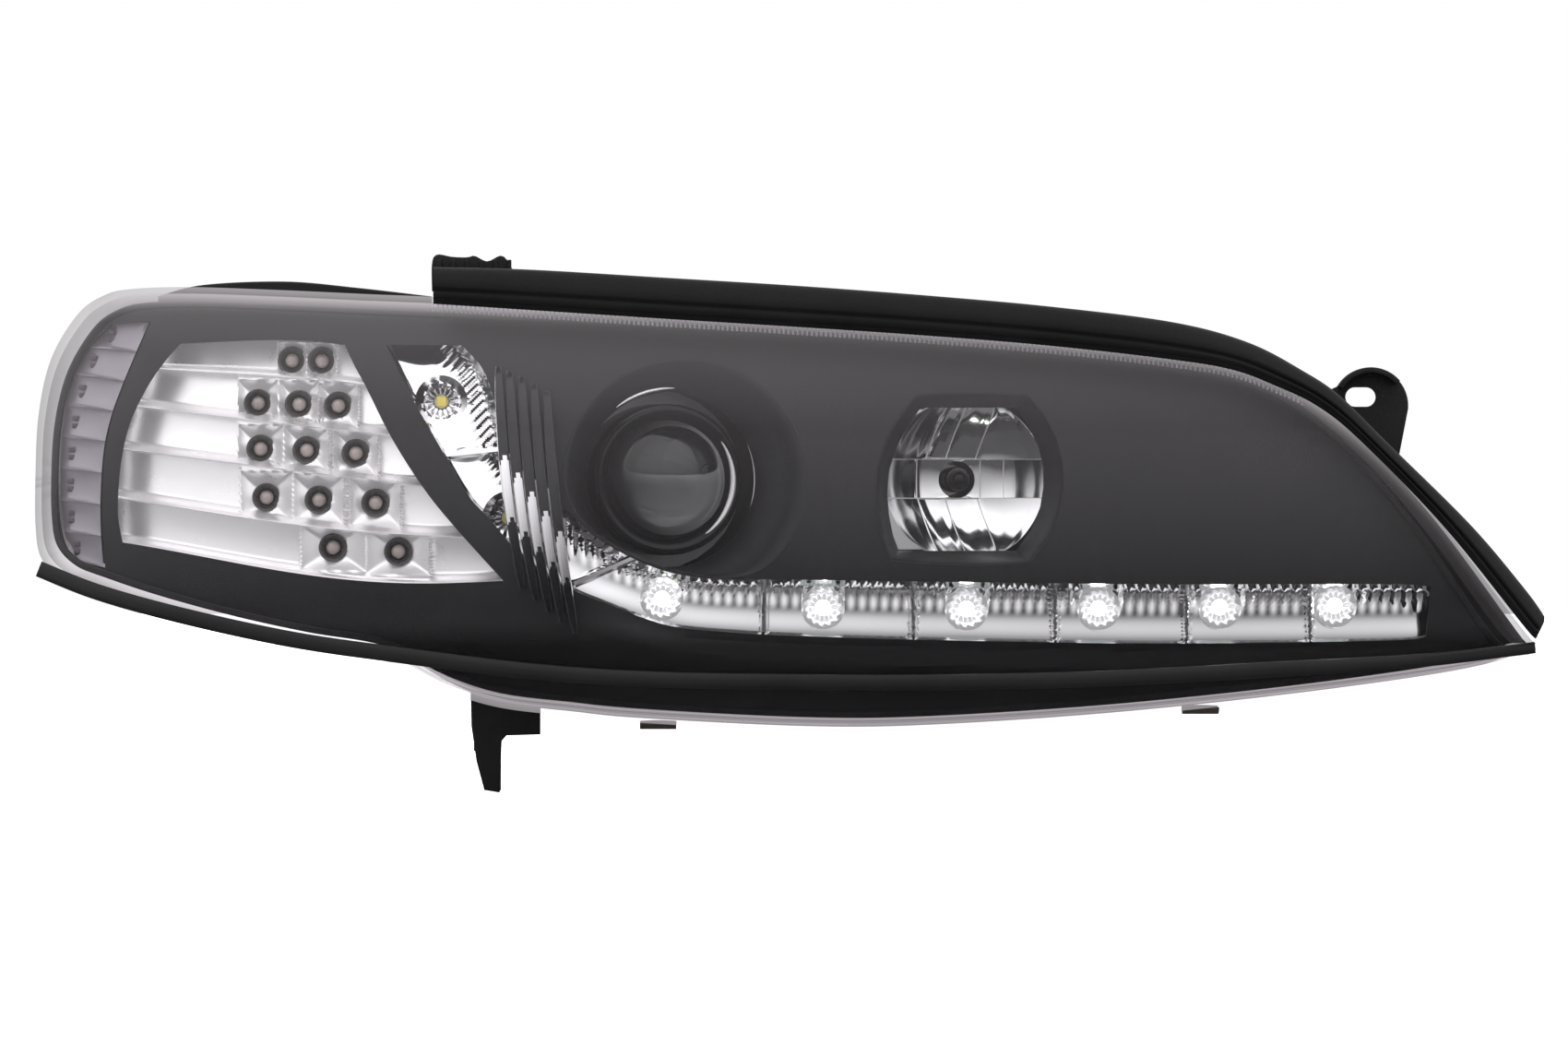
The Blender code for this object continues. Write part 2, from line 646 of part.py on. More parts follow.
def bezel(optics):
    sides = (-1, -0.6, -0.25, 0.1, 0.45, 0.8, 1)
    sheet = shell("bezel", bezel_rows(sides, 0), BEZEL_WALL, "bezel_black")
    wide = sample_between(STRIP_OUTER, STRIP_INNER, 16, 4.4)
    outline = [tuple(a) for a, b in wide] + [tuple(b) for a, b in reversed(wide)]
    strip_clearance = plate("strip_clearance", outline, -60, 60)
    ahead = shell("ahead", bezel_rows(sides, 0.6), 60, None, behind=-1, even=False)
    for name, x, mouth, throat, front, back in (("low", LOW_X, 47.6, 35.5, -22, 9),
                                                ("high", HIGH_X, 37, 32.5, -50, -27)):
        profile = [(0, back), (throat + 1.8, back), (mouth + 1.8, front), (0, front)]
        cone = turned(name + "_funnel", profile, "bezel_black", x, 0, 28, optics, closed=False)
        bore = [(0, back + 4), (throat, back + 4), (throat, back), (mouth, front), (mouth, front - 60),
                (0, front - 60)]
        hollow = turned(name + "_throat", bore, None, x, 0, 28, optics, closed=False)
        for cutter in (ahead, strip_clearance):
            boolean = cone.modifiers.new("trim", "BOOLEAN")
            boolean.operation = "DIFFERENCE"
            boolean.object = cutter
        bpy.context.view_layer.update()
        bake(cone)
        sheet = join(sheet, cone)
        sheet = cut(sheet, hollow)
    bpy.data.objects.remove(ahead)
    bpy.data.objects.remove(strip_clearance)
    windows = [
        plate("indicator_window", window(INDICATOR_LEFT, INDICATOR_RIGHT, 10), -60, 140),
        plate("strip_window", window(STRIP_OUTER, STRIP_INNER, 24), -60, 140),
        plate("marker_window", window(MARKER_LEFT, MARKER_RIGHT, 8), -60, 140),
    ]
    return cut(sheet, *windows)


def window(one_edge, other_edge, count):
    """The closed outline between two edges that run the same way."""
    return smooth_path(one_edge, count) + smooth_path(other_edge, count)[::-1]


def sample_between(one_edge, other_edge, count, widen):
    """Pairs of points across a window, pushed apart by widen."""
    pairs = []
    for a, b in zip(smooth_path(one_edge, count), smooth_path(other_edge, count)):
        span = (Vector(b) - Vector(a)).normalized() * widen
        pairs.append((Vector(a) - span, Vector(b) + span))
    return pairs


def indicator_profile(share):
    """Depth behind the bezel of the stepped reflector, from its foot at 0 to its head at 1."""
    ledges = [0.0, *INDICATOR_RIB_SHARES, 1.0]
    depth = 12
    for low, high in zip(ledges, ledges[1:]):
        if low <= share <= high:
            step = (share - low) / (high - low)
            depth = 4.0 + 9 * ease(step / 0.35)
    return depth


def indicator_reflector():
    ledges = [0.0, *INDICATOR_RIB_SHARES, 1.0]
    shares = []
    for low, high in zip(ledges, ledges[1:]):
        shares += [low + 0.001, low + 0.35 * (high - low), high - 0.014]
    pairs = sample_between(INDICATOR_LEFT, INDICATOR_RIGHT, 101, 2.5)
    rows = []
    for share in shares:
        a, b = pairs[round(share * 100)]
        row = []
        for k in range(7):
            x, z = mix(a, b, k / 6)
            row.append((x, face_y(x, z) + BEZEL_SETBACK + indicator_profile(share), z))
        rows.append(row)
    pan = shell("indicator_reflector", rows, 1.2, "chrome", even=False)
    holes = []
    for number, (x, z) in enumerate(spot for row in INDICATOR_ROWS for spot in row):
        y = face_y(x, z) + BEZEL_SETBACK
        holes.append(rod(f"led_hole_{number}", INDICATOR_LED_R, y - 10, y + 40, None, x, z, 10))
    return cut(pan, *holes)


def indicator_row(number, places):
    """One LED row: a strip board, a collar and a domed LED at each place."""
    xs = [x for x, z in places]
    z = sum(z for x, z in places) / len(places)
    y = face_y(min(xs) - 8, z + 5) + BEZEL_SETBACK + 15.5
    board = box(f"indicator_led_row_{number}", (min(xs) - 8, y, z - 5.5), (max(xs) + 8, y + 1.6, z + 5.5),
                "board_green")
    lamps = []
    for k, (led_x, led_z) in enumerate(places):
        front = face_y(led_x, led_z) + BEZEL_SETBACK + 11
        profile = [(0, y + 0.6), (4.2, y + 0.6), (4.2, front + 4), (2.6, front + 4), (2.6, front + 2.2),
                   (1.8, front + 0.7), (0, front)]
        lamps.append(turned(f"led_{number}_{k}", profile, "led_cream", led_x, led_z, 10, closed=False))
    return join(board, *lamps)


def marker_lens():
    """The ribbed side marker lens at the outboard end."""
    pairs = sample_between(MARKER_LEFT, MARKER_RIGHT, 17, -0.8)
    rows = []
    for i, (a, b) in enumerate(pairs):
        rib = 0.0 if i % 2 else 1.2
        row = []
        for k in range(4):
            x, z = mix(a, b, k / 3)
            row.append((x, face_y(x, z) + BEZEL_SETBACK + 4 - rib, z))
        rows.append(row)
    return shell("side_marker_lens", rows, 1.4, "grey_lens", even=False)


def marker_board():
    rows = []
    for i, (a, b) in enumerate(sample_between(MARKER_LEFT, MARKER_RIGHT, 9, -2.5)):
        row = []
        for k in (0.0, 0.5, 1.0):
            x, z = mix(a, b, k * 0.6)
            row.append((x, face_y(x, z) + BEZEL_SETBACK + 9, z))
        rows.append(row)
    return shell("side_marker_board", rows, 1.4, "board_green", even=False)


def strip_reflector():
    """The chrome trough behind the daylight strip, with a hole for each LED."""
    pairs = sample_between(STRIP_OUTER, STRIP_INNER, 25, 1.5)
    rows = []
    for share, back in ((0.0, 3.6), (0.12, 12), (0.5, 14), (0.88, 12), (1.0, 3.6)):
        row = []
        for a, b in pairs:
            x, z = mix(a, b, share)
            row.append((x, face_y(x, z) + BEZEL_SETBACK + back, z))
        rows.append(row)
    trough = shell("daylight_reflector", rows, 1.2, "chrome", even=False)
    holes = []
    for number, (x, z) in enumerate(STRIP_LEDS):
        y = face_y(x, z) + BEZEL_SETBACK
        holes.append(rod(f"strip_hole_{number}", 3.4, y, y + 30, None, x, z, 8))
    return cut(trough, *holes)


def strip_board():
    rows = []
    pairs = sample_between(STRIP_OUTER, STRIP_INNER, 22, -6)
    for share in (0.0, 0.5, 1.0):
        row = []
        for a, b in pairs:
            x, z = mix(a, b, share)
            row.append((x, face_y(x, z) + BEZEL_SETBACK + 17.5, z))
        rows.append(row)
    return shell("daylight_board", rows, 1.6, "board_green", even=False)


def strip_led(number, x, z):
    """A square LED package on its heat slug, standing in the reflector's hole."""
    y = face_y(x, z) + BEZEL_SETBACK
    slug = rod(f"daylight_led_{number}", 2.8, y + 13.2, y + 16.4, "led_cream", x, z, 8)
    return join(slug, box("package", (x - 1.7, y + 12.2, z - 1.7), (x + 1.7, y + 13.6, z + 1.7), "led_cream"))


def fin_lens():
    """Five raked blades that cross the daylight strip, on one clear bridge."""
    blades = []
    for number, (top, foot) in enumerate(zip(FIN_TOPS, FIN_FEET)):
        rows = []
        for share in (0.0, 0.08, 0.3, 0.6, 0.9, 1.0):
            x, z = mix(top, foot, share)
            x -= 1.6 * math.sin(math.pi * share)
            height = 7.5 * math.sin(math.pi * min(1.0, max(0.06, share))) ** 0.5 if 0 < share < 1 else 1.2
            y = face_y(x, z) + BEZEL_SETBACK - 1.6
            rows.append([(x, y - height, z), (x, y, z)])
        blades.append(shell(f"blade_{number}", rows, 2.2, "clear_plastic", behind=0))
    bridge = []
    for top, foot in zip(FIN_TOPS, FIN_FEET):
        row = []
        for share in (0.42, 0.55, 0.68):
            x, z = mix(top, foot, share)
            row.append((x - 1.6, face_y(x, z) + BEZEL_SETBACK - 2.6, z))
        bridge.append(row)
    base = shell("fin_lens", bridge, 1.6, "clear_plastic", behind=0)
    return join(base, *blades)


# ---------------------------------------------------------------- beam units

def projector(optics):
    """The low-beam module from its lens back to its bowl."""
    profile = [(0, 14), (LENS_R, 14), (LENS_R, 11.8), *lens_curve(), (0, 0)]
    turned("projector_lens", profile, "glass", LOW_X, 0, 28, optics, closed=False)
    turned("projector_lens_holder",
           [(HOLDER_R, 40), (HOLDER_R, 10), (LENS_R + 2, 8.5), (LENS_R - 1.2, 9.2), (LENS_R - 1.2, 10.2),
            (LENS_R + GAP, 11.4), (LENS_R + GAP, 14.4), (LENS_R - 3, 14.4), (LENS_R - 3, 17),
            (HOLDER_R - 2.2, 24), (HOLDER_R - 2.2, 40)],
           "cast_metal", LOW_X, 0, 28, optics)
    flange = plate("flange", arc(LOW_X, 0, 36, 0, 348, 30), 40.35, 44, "cast_metal", optics)
    opening = rod("opening", 26, 30, 60, None, LOW_X, 0, 24, optics)
    shield = cut(flange, opening)
    shield.name = "cutoff_shield_ring"
    blade = plate("cutoff_shield", [(-27, -27), (27, -27), (27, 0.5), (3, 0.5), (-3, -2), (-27, -2)], 44.4,
                  45.6, "steel", optics)
    trim = tube("shield_trim", 27, 60, 30, 60, None, LOW_X, 0, 36, optics)
    cut(blade, trim)
    bowl_outer = [(35.5, 46), (35.5, 49.5)] + ellipse_bowl(34, 9, 49.5, 103, 6)
    bowl_inner = ellipse_bowl(32, 7.4, 49, 103, 6)[::-1] + [(32, 46)]
    turned("projector_reflector", bowl_outer + bowl_inner, "cast_metal", LOW_X, 0, 20, optics)


def lens_curve():
    """Radius and depth along the projector lens's front, from its edge to near its vertex."""
    curve_radius = 30.5
    edge = math.asin((LENS_R - 1.6) / curve_radius)
    return [(curve_radius * math.sin(edge * k / 6), curve_radius * (1 - math.cos(edge * k / 6)))
            for k in range(6, 0, -1)]


def ellipse_bowl(mouth, hole, front, back, count):
    """(radius, y) points down a bowl from its mouth to its bulb hole."""
    points = []
    for k in range(count):
        share = k / (count - 1)
        radius = hole + (mouth - hole) * math.sqrt(max(0.0, 1 - share ** 2.2))
        points.append((radius, front + (back - front) * share))
    return points


def high_reflector(optics):
    """The faceted high-beam bowl, cut flat above and below, with its mounting flange."""
    front = HIGH_FRONT
    outer = [(41, front), (41, front + 3)] + ellipse_bowl(34.5, 9, front + 3, front + 32, 5)
    inner = ellipse_bowl(33, 7.4, front + 1, front + 32, 5)[::-1] + [(33, front)]
    return turned("high_beam_reflector", outer + inner, "chrome", HIGH_X, 0, 24, optics)


def bulb(name, x, seat, optics):
    """Glass capsule, metal seat and base of a halogen bulb; seat is where its flange rests."""
    profile = [(0, seat + 14), (4, seat + 14), (4, seat + 9), (6.5, seat + 9), (6.5, seat + 3), (11, seat + 3),
               (11, seat + 0.5), (6.6, seat + 0.5), (6.6, seat - 3), (5, seat - 4), (5, seat - 22),
               (3.2, seat - 26), (0, seat - 27)]
    return turned(name, profile, "glass", x, 0, 12, optics, closed=False)


def bulb_plug(name, x, seat, optics):
    """The push-on plug and the wire that leaves it downwards, between the clip's legs."""
    body = tube(name, 4.4, 7, seat + 10.5, seat + 16, "black_plastic", x, 0, 16, optics)
    back = box("plug_back", (x - 5.5, seat + 15, -5.5), (x + 5.5, seat + 21, 5.5), "black_plastic", optics)
    lead = wire("plug_lead", [(x, seat + 18, -4), (x, seat + 18, -20), (x, seat + 17, -27), (x, seat + 14, -32)],
                1.4, "black_plastic", optics)
    return join(body, back, lead)


def bulb_clip(name, x, seat, optics):
    """A wire spring that pivots under the bulb and hooks over it."""
    y = seat + 4.2
    low = CLIP_PIVOT_Z
    points = [(x - 13, y, low), (x - 9, y, low), (x - 9, y, -6), (x - 8.6, y, 8), (x - 5, y, 15),
              (x + 5, y, 15), (x + 8.6, y, 8), (x + 9, y, -6), (x + 9, y, low), (x + 13, y, low)]
    return wire(name, points, 0.8, "steel", optics)


def hinge_posts(name, x, seat, optics):
    """The two drilled posts that hold a clip's pivot ends."""
    posts = []
    for side in (-1, 1):
        low_x, high_x = sorted((x + side * 11.4, x + side * 15))
        post = box(f"{name}_post_{side}", (low_x, seat, CLIP_PIVOT_Z - 3),
                   (high_x, seat + 8.2, CLIP_PIVOT_Z + 3), "black_plastic", optics)
        hole = rod("pivot_hole", 1.25, x - 20, x + 20, None, 0, 0, 12, optics)
        hole.rotation_euler = (0, math.pi / 2, 0)
        hole.location = (0, (seat + 4.2) * MM, CLIP_PIVOT_Z * MM)
        posts.append(cut(post, hole))
    return posts


def clip_seat(name, x, seat, optics):
    """The collar behind a reflector that seats the bulb flange and carries the clip's posts."""
    collar = tube(name, 12, 17, seat - 1.6, seat + 3.4, "black_plastic", x, 0, 16, optics)
    floor = tube("floor", 7.2, 16.5, seat - 1.5, seat + 0.1, "black_plastic", x, 0, 16, optics)
    base = box("base", (x - 15, seat - 1.6, CLIP_PIVOT_Z - 3), (x + 15, seat + 2.6, CLIP_PIVOT_Z + 3),
               "black_plastic", optics)
    mouth = rod("mouth", 11.7, seat + 0.1, seat + 12, None, x, 0, 16, optics)
    hook = box("hook", (x - 3, seat + 1, 13.4), (x + 3, seat + 3, 17.6), "black_plastic", optics)
    seat_piece = cut(join(collar, floor, base), mouth)
    return join(seat_piece, hook, *hinge_posts(name, x, seat, optics))


def optics_carrier(optics):
    """The plate both beam units hang on, with its three ball sockets and the high-beam posts."""
    outline = [(-70, 26), (-70, 42), (-64, 46), (66, 46), (84, 38), (146, 38), (152, 30), (152, -30),
               (140, -40), (90, -42), (70, -56), (45, -56), (31, -40.5), (-30, -39), (-40, -32), (-42, 10)]
    body = plate("optics_carrier", outline, PLATE_Y, PLATE_Y + 4, "black_plastic", optics)
    sockets = []
    for number, (x, z) in enumerate(((PIVOT_X, LEVEL_Z), (PAN_X, PIVOT_Z))):
        sockets.append(rod(f"socket_{number}", 8.5, BALL_Y - 6.6, BALL_Y + 6, "black_plastic", x, z, 12, optics))
    sockets.append(rod("socket_p", 12.5, BALL_Y - 6.9, BALL_Y + 4, "black_plastic", PIVOT_X, PIVOT_Z, 24, optics))
    posts = [rod(f"post_{k}", 2.4, HIGH_FRONT + 3.4, PLATE_Y + 1, "black_plastic",
                 HIGH_X + 38 * math.cos(a), 38 * math.sin(a), 6, optics)
             for k, a in enumerate(math.radians(d) for d in (45, 135, 225, 315))]
    body = join(body, *sockets, *posts)
    holes = [rod("hole_low", 34.1, 40, 80, None, LOW_X, 0, 28, optics),
             rod("hole_high", 26, 40, 80, None, HIGH_X, 0, 16, optics)]
    for number, (x, z) in enumerate(((PIVOT_X, LEVEL_Z), (PAN_X, PIVOT_Z))):
        holes.append(rod(f"cup_{number}", BALL_R + 0.6, 40, 90, None, x, z, 14, optics))
    holes.append(rod("cup_p", 10.2, 40, 90, None, PIVOT_X, PIVOT_Z, 24, optics))
    return cut(body, *holes)


def ball_stud(name, x, z, shank, end, slot, optics):
    """A ball on a shank that runs back from it."""
    ball = []
    start = math.asin(shank / BALL_R)
    for k in range(7):
        a = start + (math.pi - start) * k / 6
        ball.append((BALL_R * math.sin(a), BALL_Y + BALL_R * math.cos(a)))
    ball[-1] = (0, BALL_Y - BALL_R)
    return turned(name, [(0, end), (shank, end)] + ball, slot, x, z, 16, optics, closed=False)


def pivot_parts(optics):
    ball_stud("pivot_ball_stud", PIVOT_X, PIVOT_Z, 3, 115, "steel", optics)
    socket = rod("pivot_socket", 9.2, BALL_Y - 6.5, BALL_Y + 5, "nylon", PIVOT_X, PIVOT_Z, 16, optics)
    cup = turned("cup", [(0, BALL_Y - 5.6), (3, BALL_Y - 5.2), (BALL_R + 0.3, BALL_Y - 2),
                         (BALL_R + 0.3, BALL_Y + 1.5), (4.6, BALL_Y + 4), (4.6, BALL_Y + 9), (0, BALL_Y + 9)],
                 None, PIVOT_X, PIVOT_Z, 16, optics, closed=False)
    cut(socket, cup)


def pan_adjuster(optics):
    ball_stud("pan_rod", PAN_X, PIVOT_Z, 2.6, PAN_BOSS_END + 18, "steel", optics)
    wheel = tube("pan_wheel", 3.1, 10, PAN_BOSS_END + 0.4, PAN_BOSS_END + 10, "nylon", PAN_X, PIVOT_Z, 16,
                 optics)
    notches = [rod(f"notch_{k}", 1.3, PAN_BOSS_END - 5, PAN_BOSS_END + 15, None, x, z, 8, optics)
               for k, (x, z) in enumerate(arc(PAN_X, PIVOT_Z, 10.4, 0, 315, 8))]
    cut(wheel, *notches)


def level_actuator(optics):
    """The electric levelling actuator: its gear drum, motor case, plug socket and manual knob."""
    end = LEVEL_BOSS_END
    ball_stud("level_spindle", PIVOT_X, LEVEL_Z, 3.2, end + 14, "nylon", optics)
    motor = rod("level_motor", 20, end + 0.4, end + 14, "black_plastic", PIVOT_X, LEVEL_Z, 24, optics)
    case = box("case", (PIVOT_X - 26, end + 13, -70), (PIVOT_X + 14, end + 35, -34), "black_plastic",
               optics, bevel=3)
    plug = box("plug", (PIVOT_X - 8, end + 18, -84), (PIVOT_X + 8, end + 30, -68), "black_plastic", optics)
    hollow = box("hollow", (PIVOT_X - 6, end + 20, -90), (PIVOT_X + 6, end + 28, -76), None, optics)
    shaft = rod("shaft", 3.8, end - 5, end + 24, None, PIVOT_X, LEVEL_Z, 16, optics)
    cut(join(motor, case, plug), hollow, shaft)
    x = PIVOT_X - 6
    z = LEVEL_Z - 8
    knob = rod("level_knob", 6, end + 35.4, end + 45, "nylon", x, z, 12, optics)
    cut(knob, box("driver_slot", (x - 8, end + 43, z - 0.8), (x + 8, end + 50, z + 0.8), None, optics))


def rear_cap(name, x, end, optics):
    """A rubber cap with a pull tab, pushed over its neck."""
    profile = [(0, end + 6), (CAP_R - 5, end + 6), (CAP_R - 2, end + 4.5), (CAP_R - 1, end + 1),
               (CAP_R, end - 8), (CAP_R, end - 10), (NECK_R + GAP, end - 10), (NECK_R + GAP, end + GAP),
               (22, end + GAP), (20, end + 2.6), (0, end + 2.6)]
    cap = turned(name, profile, "rubber", x, 0, 20, optics, closed=False)
    tab = box("pull_tab", (x - 7, end + 4, -14), (x + 7, end + 12, -11), "rubber", optics)
    return join(cap, tab)


# ---------------------------------------------------------------- electrical parts and fasteners

def connector():
    """The housing's plug socket: a shrouded block with its blades inside."""
    y = BACK_Y + 0.4
    body = box("main_connector", (136, y, -40), (172, y + 23, -18), "black_plastic", bevel=1.5)
    body = cut(body, box("hollow", (139, y + 8, -37), (169, y + 40, -21)))
    blades = []
    for k in range(4):
        x = 143.5 + 7 * k
        blades.append(box(f"blade_{k}", (x - 1.5, y + 5, -30), (x + 1.5, y + 18, -28.6), "black_plastic"))
    return join(body, *blades)


def driver_box():
    """The finned LED driver, screwed to the housing's back by its two ears."""
    left = -190
    y = BACK_Y + 0.4
    body = box("led_driver", (left, y, -6), (left + 62, y + 22, 34), "cast_metal", bevel=2)
    ears = box("ears", (left - 9, y + 0.05, 8), (left + 71, y + 2.5, 20), "cast_metal")
    grooves = [box(f"groove_{k}", (left + 7 + 8 * k, y + 18, -10), (left + 10 + 8 * k, y + 30, 40))
               for k in range(7)]
    cut(join(body, ears), *grooves)
    screw("driver_screw_outboard", left - 4.8, y + 2.9, 14)
    screw("driver_screw_inboard", left + 66.8, y + 2.9, 14)


def harness():
    """The cable from the LED driver along the housing's back to the plug socket."""
    y = BACK_Y + 9
    points = smooth_path([(-126, y, 6), (-112, y + 3, -2), (-98, y + 3, -34), (-60, y + 1, -78),
                          (0, y, -79), (80, y, -79), (118, y, -64), (126, y, -40), (133.5, y, -29)], 18)
    return wire("harness_cable", points, 3, "rubber")


def vent(name, x, z):
    """A breather cap on the housing's back."""
    y = back_y(x) + GAP + 0.2
    profile = [(0, y + 9), (7, y + 9), (8, y + 7), (8, y + 1.5), (6, y), (0, y)]
    return turned(name, profile, "rubber", x, z, 16, closed=False)


def screw(name, x, y, z, parent=None):
    """A pan-head screw seen from behind, with a cross slot."""
    profile = [(0, y + 3.2), (2.6, y + 3.1), (4, y + 2), (4, y), (0, y)]
    body = turned(name, profile, "steel", x, z, 12, parent, closed=False)
    slots = [box("slot_a", (x - 2.4, y + 1.8, z - 0.5), (x + 2.4, y + 8, z + 0.5), None, parent),
             box("slot_b", (x - 0.5, y + 1.8, z - 2.4), (x + 0.5, y + 8, z + 2.4), None, parent)]
    return cut(body, *slots)


def build():
    clear_scene()
    make_collection(MODEL)
    make_collection(CUTTERS, hidden=True)
    layout = bpy.data.objects.new(LAYOUT, None)
    layout.location = [-c * MM for c in DATUM]
    optics = bpy.data.objects.new("optical_frame", None)
    optics.parent = layout
    optics.rotation_euler = (0, 0, TOE)
    for empty in (layout, optics):
        bpy.data.collections[MODEL].objects.link(empty)
    bpy.context.view_layer.update()

    housing(optics)
    sealant_bead()
    front_lens()
    bezel(optics)
    top_seal_strip()
    bottom_trim_strip()
    lens_clip("lens_clip_outboard", -6, 10)
    lens_clip("lens_clip_inboard", 209, 10)

    indicator_reflector()
    for number, places in enumerate(INDICATOR_ROWS, 1):
        indicator_row(number, places)
    marker_lens()
    marker_board()
    strip_reflector()
    strip_board()
    for number, (x, z) in enumerate(STRIP_LEDS, 1):
        strip_led(number, x, z)
    fin_lens()

    projector(optics)
    high_reflector(optics)
    for name, x, seat in (("low_beam", LOW_X, 105), ("high_beam", HIGH_X, HIGH_FRONT + 34)):
        bulb(name + "_bulb", x, seat, optics)
        bulb_plug(name + "_plug", x, seat, optics)
        clip_seat(name + "_bulb_seat", x, seat, optics)
        bulb_clip(name + "_bulb_clip", x, seat, optics)
    optics_carrier(optics)
    pivot_parts(optics)
    pan_adjuster(optics)
    level_actuator(optics)
    rear_cap("low_beam_cap", LOW_X, LOW_NECK_END, optics)
    rear_cap("high_beam_cap", HIGH_X, HIGH_NECK_END, optics)

    connector()
    driver_box()
    harness()
    vent("vent_cap_outboard", -205, 40)
    vent("vent_cap_inboard", 150, 14)


build()
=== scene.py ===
"""Looks of the car headlight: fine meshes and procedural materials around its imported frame.

+X points along the lens towards the grille, +Y points back into the car, +Z is up. The
shapes are laid out in millimetres from the front vertex of the low-beam projector lens, and
LAYOUT moves them to the frame's origin, DATUM, on the inboard ear. The beam units look TOE
off -Y, towards +X, and have their own frame, OPTICS: X across, Y back, Z up.
"""

import json
import math
from collections import Counter

import bmesh
import bpy
import numpy as np
from mathutils import Matrix, Vector

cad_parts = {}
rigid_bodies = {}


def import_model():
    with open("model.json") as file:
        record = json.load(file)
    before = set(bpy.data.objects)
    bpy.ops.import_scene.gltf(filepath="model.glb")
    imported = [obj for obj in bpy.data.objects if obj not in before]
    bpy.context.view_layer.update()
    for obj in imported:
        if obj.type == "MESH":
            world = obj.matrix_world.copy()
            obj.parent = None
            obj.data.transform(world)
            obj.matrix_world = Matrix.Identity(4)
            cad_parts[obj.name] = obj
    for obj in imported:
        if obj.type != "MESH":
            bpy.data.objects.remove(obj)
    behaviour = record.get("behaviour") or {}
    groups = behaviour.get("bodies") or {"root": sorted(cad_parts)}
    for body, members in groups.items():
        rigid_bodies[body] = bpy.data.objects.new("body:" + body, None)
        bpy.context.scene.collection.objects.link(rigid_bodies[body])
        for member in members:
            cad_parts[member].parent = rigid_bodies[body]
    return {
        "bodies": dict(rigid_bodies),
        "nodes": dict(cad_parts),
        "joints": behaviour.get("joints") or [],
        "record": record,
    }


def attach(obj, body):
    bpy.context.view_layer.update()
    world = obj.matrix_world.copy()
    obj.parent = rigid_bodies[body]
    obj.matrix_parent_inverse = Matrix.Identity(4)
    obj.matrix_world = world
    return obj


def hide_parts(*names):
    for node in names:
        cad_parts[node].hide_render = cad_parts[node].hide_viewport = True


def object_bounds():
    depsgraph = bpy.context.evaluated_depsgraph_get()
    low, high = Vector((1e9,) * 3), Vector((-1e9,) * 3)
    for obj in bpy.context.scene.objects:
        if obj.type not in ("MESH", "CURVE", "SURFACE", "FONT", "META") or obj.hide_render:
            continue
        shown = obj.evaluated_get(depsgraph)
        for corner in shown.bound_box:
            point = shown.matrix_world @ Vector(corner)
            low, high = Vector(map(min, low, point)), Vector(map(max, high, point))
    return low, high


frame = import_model()
cad_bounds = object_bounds()

MM = 0.001
TOE = math.radians(12)
DATUM = (272, 32, 22)
LAYOUT = Matrix.Translation([-c * MM for c in DATUM])
OPTICS = LAYOUT @ Matrix.Rotation(TOE, 4, "Z")
SHARP = math.radians(32)
HOLE_SNAP = 1.4
COLUMNS = 240

# Lens face: where its outer skin lies, and how it falls back from its crown.
FACE_LEFT = -256
FACE_RIGHT = 344.5
FRONT_Y = -36
CROWN_X = 130
BROW_Z = -30
WRAP_DEPTH = 100
TIP_DEPTH = 30
TOP_LEAN = 34
TOP_REACH = 107
CHIN_LEAN = 15
CHIN_REACH = 70
SHOULDER = 5
SHOULDER_WIDE = 8

LENS_WALL = 2.6
LENS_RETURN = 30
GAP = 0.35
BEAD_DEEP = 1.6
RIM_DEEP = 6
BEZEL_SETBACK = 16
BEZEL_WALL = 1.8
TUB_WALL = 2.6
BACK_Y = 125
BACK_Y_TIP = 52

# Beam units, in the optical frame.
LOW_X = 0
HIGH_X = 115
HIGH_FRONT = -15
LENS_R = 25
HOLDER_R = 30
PIVOT_X = 57.5
PIVOT_Z = 36
LEVEL_Z = -44
PAN_X = -60
NECK_R = 39
CAP_R = 43
LOW_NECK_END = 148
HIGH_NECK_END = 124
PAN_BOSS_END = 146
LEVEL_BOSS_END = 121
LOW_SEAT = 105
HIGH_SEAT = HIGH_FRONT + 34
CLIP_PIVOT_Z = -15

CAMERA_X, CAMERA_Z = 43.9, -17
CAMERA_Y = -6000
FRAMED_Y = 15
FRAME_WIDE = 622.2

# Outlines on the face, (x, z), each from its outboard end to its inboard end.
UPPER_EDGE = [(-256, 0), (-255, 26), (-250, 49), (-239, 67), (-228, 74.3), (-217, 76.5), (-194, 77),
              (-157, 75.5), (-120, 73.6), (-95, 72.5), (-3, 68), (99, 61.4), (197, 52), (238, 42),
              (270, 21.5), (303, -12), (335.5, -53), (344.5, -65)]
LOWER_EDGE = [(-256, 0), (-255.8, -18), (-253.5, -31), (-245, -39.5), (-233, -44), (-209, -51.5),
              (-178, -59.5), (-147, -66), (-115, -71.5), (-91, -83), (-69, -90), (-40, -93.5), (-14, -96),
              (51, -99.2), (99, -98.8), (172, -94), (249, -86), (315, -77), (336, -71), (344.5, -65)]
SEAL_LOW = [(-95, 71), (-57, 68.4), (-3, 64.8), (50, 61.5), (99, 58.2), (148, 54.2), (197, 48.7),
            (221, 44.7), (238, 38.4), (254, 30.7), (270.5, 17.6), (303, -15.7), (335.5, -55.6), (341, -61.5)]
SEAL_HIGH = [(-95, 84.2), (-57, 83.1), (-3, 79.8), (50, 76.5), (99, 72.8), (148, 68.4), (197, 62.2),
             (227, 54.2), (249, 42.8), (263.5, 32.9), (282, 14.6), (315, -17.9), (336.7, -43.2), (344.8, -54.2)]
